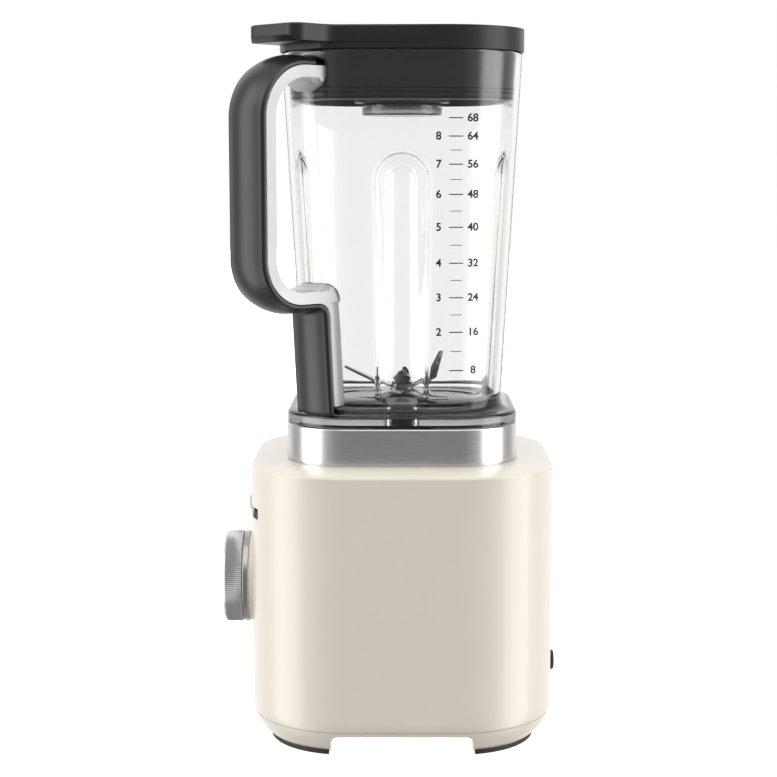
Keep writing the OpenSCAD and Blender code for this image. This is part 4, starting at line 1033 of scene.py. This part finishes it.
def number(text, y, z):
    """A printed number, made a mesh and wrapped on the wall."""
    curve = bpy.data.curves.new("number", "FONT")
    curve.body, curve.align_x, curve.align_y = text, "CENTER", "CENTER"
    curve.size = digit_size
    curve.offset = 0.17
    curve.extrude = (ink_t + ink_in) / 2
    thing = bpy.data.objects.new("number", curve)
    bpy.context.scene.collection.objects.link(thing)
    bpy.context.view_layer.update()
    mesh = bpy.data.meshes.new_from_object(thing.evaluated_get(bpy.context.evaluated_depsgraph_get()))
    bpy.data.objects.remove(thing)
    bm = bmesh.new()
    bm.from_mesh(mesh)
    bpy.data.meshes.remove(mesh)
    bmesh.ops.remove_doubles(bm, verts=bm.verts, dist=1e-4)
    for vert in bm.verts:
        vert.co = on_wall(y + vert.co.x, z + vert.co.y, vert.co.z + (ink_t - ink_in) / 2)
    bmesh.ops.recalc_face_normals(bm, faces=bm.faces)
    return bm


# Below the first, the ticks lie closer together where the jar is wider.
tick_z = (367.4, 357.2, 349.4, 341.5, 332.9, 324.5, 315.1, 305.9,
          295.7, 285.4, 275.6, 265.6, 255.7, 245.6, 234.5, 223.3)
numbers = {0: ("", "68"), 1: ("8", "64"), 3: ("7", "56"), 5: ("6", "48"), 7: ("5", "40"), 9: ("4", "32"),
           11: ("3", "24"), 13: ("2", "16"), 15: ("", "8")}


def scale_piece():
    """Ticks with numbers on both sides; the half steps are shorter and thinner, and have no numbers."""
    marks = []
    for i, z in enumerate(tick_z):
        shift = (tick_z[0] - z) / (tick_z[0] - tick_z[-1])
        inset, thick = (0, 0.62) if i in numbers else (0.8, 0.4)
        marks.append(tick(z, 26.4 + 0.7 * shift + inset, 34.3 + 0.9 * shift - inset, thick))
        left, right = numbers.get(i, ("", ""))
        if left:
            marks.append(number(left, 20.6 + 0.5 * shift, z))
        if right:
            marks.append(number(right, 40.0 + 1.1 * shift, z))
    return together(*marks)


place(scale_piece(), "volume_scale", "jar", ink)

# ---- lid ---------------------------------------------------------------------


def tongue_corner(inset):
    """Half of the lid's corner with the tongue, as (outward, across), from the rim to the tongue's end."""
    radius = lid_half - inset - jar_c
    half, flare = tongue_half - inset, tongue_flare + inset
    end_r, out = tongue_r - inset, tongue_out - inset
    reach = degrees(asin((half + flare) / (radius + flare)))
    fx = corner_out + (radius + flare) * cos(radians(reach))
    return (arc(corner_out, 0, radius, 45, reach, 3)[:3] + arc(fx, half + flare, flare, 180 + reach, 270, 9)
            + arc(out - end_r, half - end_r, end_r, 90, 0, 8))


def lid_ring(z, half, inset=None, stop=tongue_out):
    """A ring of the lid; an inset gives it the tongue, cut short at stop."""
    radius = half - jar_c
    if inset is None:
        angles = [asin(point[1] / (lid_half - jar_c)) for point in tongue_corner(0)]
        side = [(corner_out + radius * cos(a), radius * sin(a)) for a in angles]
    else:
        side = [(min(x, stop), y) for x, y in tongue_corner(inset)]
    plain = arc(corner_out, 0, radius, -45, 45, 2 * len(side) - 1)
    tongue = [(x, -y) for x, y in side] + side[::-1]
    corners = []
    for k, part in enumerate((plain, plain, plain, tongue)):
        turn = Matrix.Rotation(radians(90 * k + 45), 2)
        corners.append([turn @ Vector(point) for point in part])
    ring = []
    for k in range(4):
        start, end = corners[k][-1], corners[(k + 1) % 4][0]
        ring += corners[k] + [start.lerp(end, i / 8) for i in range(1, 8)]
    return [Vector((point.x, point.y, z)) for point in ring]


def lid_piece():
    """Rings up the rim and over the top, down the cap's hole, and back over the plug with its grooves."""
    edge, tip = 1.4, tongue_z + tongue_bevel
    rings = [lid_ring(z, lid_half - inset) for z, inset in (
        (lid_z, 0.6), (lid_z + 0.2, 0.15), (lid_z + 0.6, 0), (tongue_z - 0.01, 0))]
    rings += [lid_ring(z, lid_half, inset, tongue_out - short * tongue_bevel) for z, inset, short in (
        (tongue_z, 0.5, 1.4), (tongue_z + 0.3, 0.1, 1.3), (tongue_z + 0.6, 0.0, 1.1))]
    rings += [lid_ring(tip - 0.3, lid_half, 0.0, tongue_out - 0.5), lid_ring(tip + 0.3, lid_half, 0.0)]
    rings += [lid_ring(z, lid_half, edge - x) for x, z in arc(0, lid_top - edge, edge, 0, 90, 5)]
    plain = lid_ring(0, lid_half)
    bore = cap_r + 0.3 + cap_t / 2
    seat, sleeve = cap_flange_r + 0.3, bore + 3.0
    shelf, roof = lid_top - 3.6, lid_top - 6.4
    rings += [round_ring(plain, r, z) for r, z in (
        (seat + 0.7, lid_top), (seat + 0.2, lid_top - 0.2), (seat, lid_top - 0.7), (seat, shelf),
        (bore + 0.4, shelf), (bore, shelf - 0.4), (bore, plug_z + 0.4), (bore + 0.4, plug_z),
        (sleeve - 0.4, plug_z), (sleeve, plug_z + 0.4), (sleeve, roof))]
    plug = [(roof, 5.4), (plug_z + 0.6, 5.4), (plug_z, 4.8), (plug_z, 2.0), (plug_z + 0.3, 1.1)]
    plug += [(z + side * rib_half_t, inset) for z in rib_z
             for side, inset in ((-1, 0.7), (-1, 1.9), (1, 1.9), (1, 0.7))]
    rings += [lid_ring(z, jar_half(z) - jar_wall - inset) for z, inset in plug + [(lid_z, 0.7)]]
    return loft(rings, loop=True)


place(lid_piece(), "lid_body", "lid", lid_black, ["lid"])


def seal_rib(z):
    """One rib of the seal, in the plug's groove and out to the jar's wall."""
    t = rib_half_t - 0.02
    profile = [(1.85, -t), (0.5, -t), (0.15, -t * 0.5), (0.15, t * 0.5), (0.5, t), (1.85, t)]
    return loft([lid_ring(z + up, jar_half(z) - jar_wall - inset) for inset, up in profile], loop=True)


place(together(*[seal_rib(z) for z in rib_z]), "lid_seal", "lid", seal_rubber, ["lid_gasket"])

# ---- filler cap --------------------------------------------------------------


def cap_piece():
    """The cup: its foot, its wall, the flange it hangs by and its inside."""
    top, inner_r, inner_z = high("filler_cap").z, cap_r - cap_t, cap_foot_z + 5.0
    profile = [(0, cap_foot_z + 1.2), (cap_r * 0.5, cap_foot_z + 0.7), (cap_r - 3.0, cap_foot_z)]
    profile += arc(cap_r - 1.6, cap_foot_z + 1.6, 1.6, -90, 0, 5)
    profile += [(cap_r, top - 3.2), (cap_flange_r - 0.5, top - 2.9), (cap_flange_r, top - 2.4),
                (cap_flange_r, top - 0.6), (cap_flange_r - 0.6, top), (inner_r + 0.6, top),
                (inner_r, top - 0.6)]
    profile += arc(inner_r - 2, inner_z, 2, 0, -90, 4)
    return turned(profile + [(cap_r * 0.5, cap_foot_z + 3.4), (0, cap_foot_z + 3.8)])


place(cap_piece(), "measuring_cap", "cap", smoke, ["filler_cap"], smooth=40)

# ---- blades ------------------------------------------------------------------

for blade in ("lower_blade", "middle_blade", "upper_blade"):
    place(softened(blade, 0.25), blade.replace("_", "_steel_"), "blades", steel, [blade])
place(softened("blade_nut", 0.2), "domed_nut", "blades", hub_steel, ["blade_nut"], smooth=25)
place(softened("blade_base", 0.4), "bearing_hub", "jar", hub_steel, ["blade_base"])

# ---- floor, camera and light ---------------------------------------------------


def stage_floor():
    """A pale floor that glows a little, so that it looks white."""
    bm = bmesh.new()
    bmesh.ops.create_grid(bm, x_segments=1, y_segments=1, size=6)
    mesh = bpy.data.meshes.new("floor")
    bm.to_mesh(mesh)
    bm.free()
    f = Finish("pale_floor", "cream_shell", Roughness=0.9)
    shade = f.noise(0.4, 2.0)
    f.set(Base_Color=f.blend(shade, (0.9, 0.9, 0.9), (0.92, 0.92, 0.92)),
          Emission_Color=(1, 1, 1), Emission_Strength=0.75)
    mesh.materials.append(f.material)
    floor = bpy.data.objects.new("floor", mesh)
    bpy.context.scene.collection.objects.link(floor)
    floor.visible_glossy = floor.visible_diffuse = floor.visible_transmission = False


stage_floor()


def long_lens():
    """A camera straight before the side with the scale, looking a little down."""
    camera = bpy.data.objects.new("camera", bpy.data.cameras.new("camera"))
    camera.data.lens = 80.7
    camera.data.sensor_width = 36
    camera.data.shift_x = -0.0174
    camera.location = (1.058, 0, 0.341)
    camera.rotation_euler = (radians(82.69), 0, radians(90))
    bpy.context.scene.collection.objects.link(camera)
    bpy.context.scene.camera = camera


long_lens()
bpy.context.scene.view_settings.view_transform = "Standard"


class Studio(Finish):
    """A dim room with a tall window on either side, a white wall behind and light from above."""

    def __init__(self):
        world = bpy.data.worlds.new("studio")
        world.use_nodes = True
        bpy.context.scene.world = world
        self.tree = world.node_tree
        self.position = self.node("ShaderNodeTexCoord").outputs["Generated"]
        x, y, z = self.axes()
        back = (0 - x) / (x * x + y * y + 0.000001) ** 0.5
        tall = 1 - z.combine("ABSOLUTE", z).step(0.6, 0.85)
        windows = back.step(-0.66, -0.42) * (1 - back.step(0.0, 0.2)) * tall
        wall = back.step(0.5, 0.85) * tall
        ceiling = z.step(0.4, 0.8) * (1.3 - back.step(-0.5, 0.3))
        light = 0.28 + back.step(-0.95, -0.7) * 0.2 + windows * 2.8 + wall * 0.55 + ceiling
        tint = self.blend(back.step(0.45, 0.85), (1.0, 0.985, 0.965), (1, 1, 1))
        seen = Signal(self, self.node("ShaderNodeLightPath").outputs["Is Camera Ray"])
        self.put(self.tree.nodes["Background"], {"Color": self.blend(seen, tint, (1, 1, 1)),
                                                 "Strength": seen + (1 - seen) * light})


Studio()

bpy.context.view_layer.update()
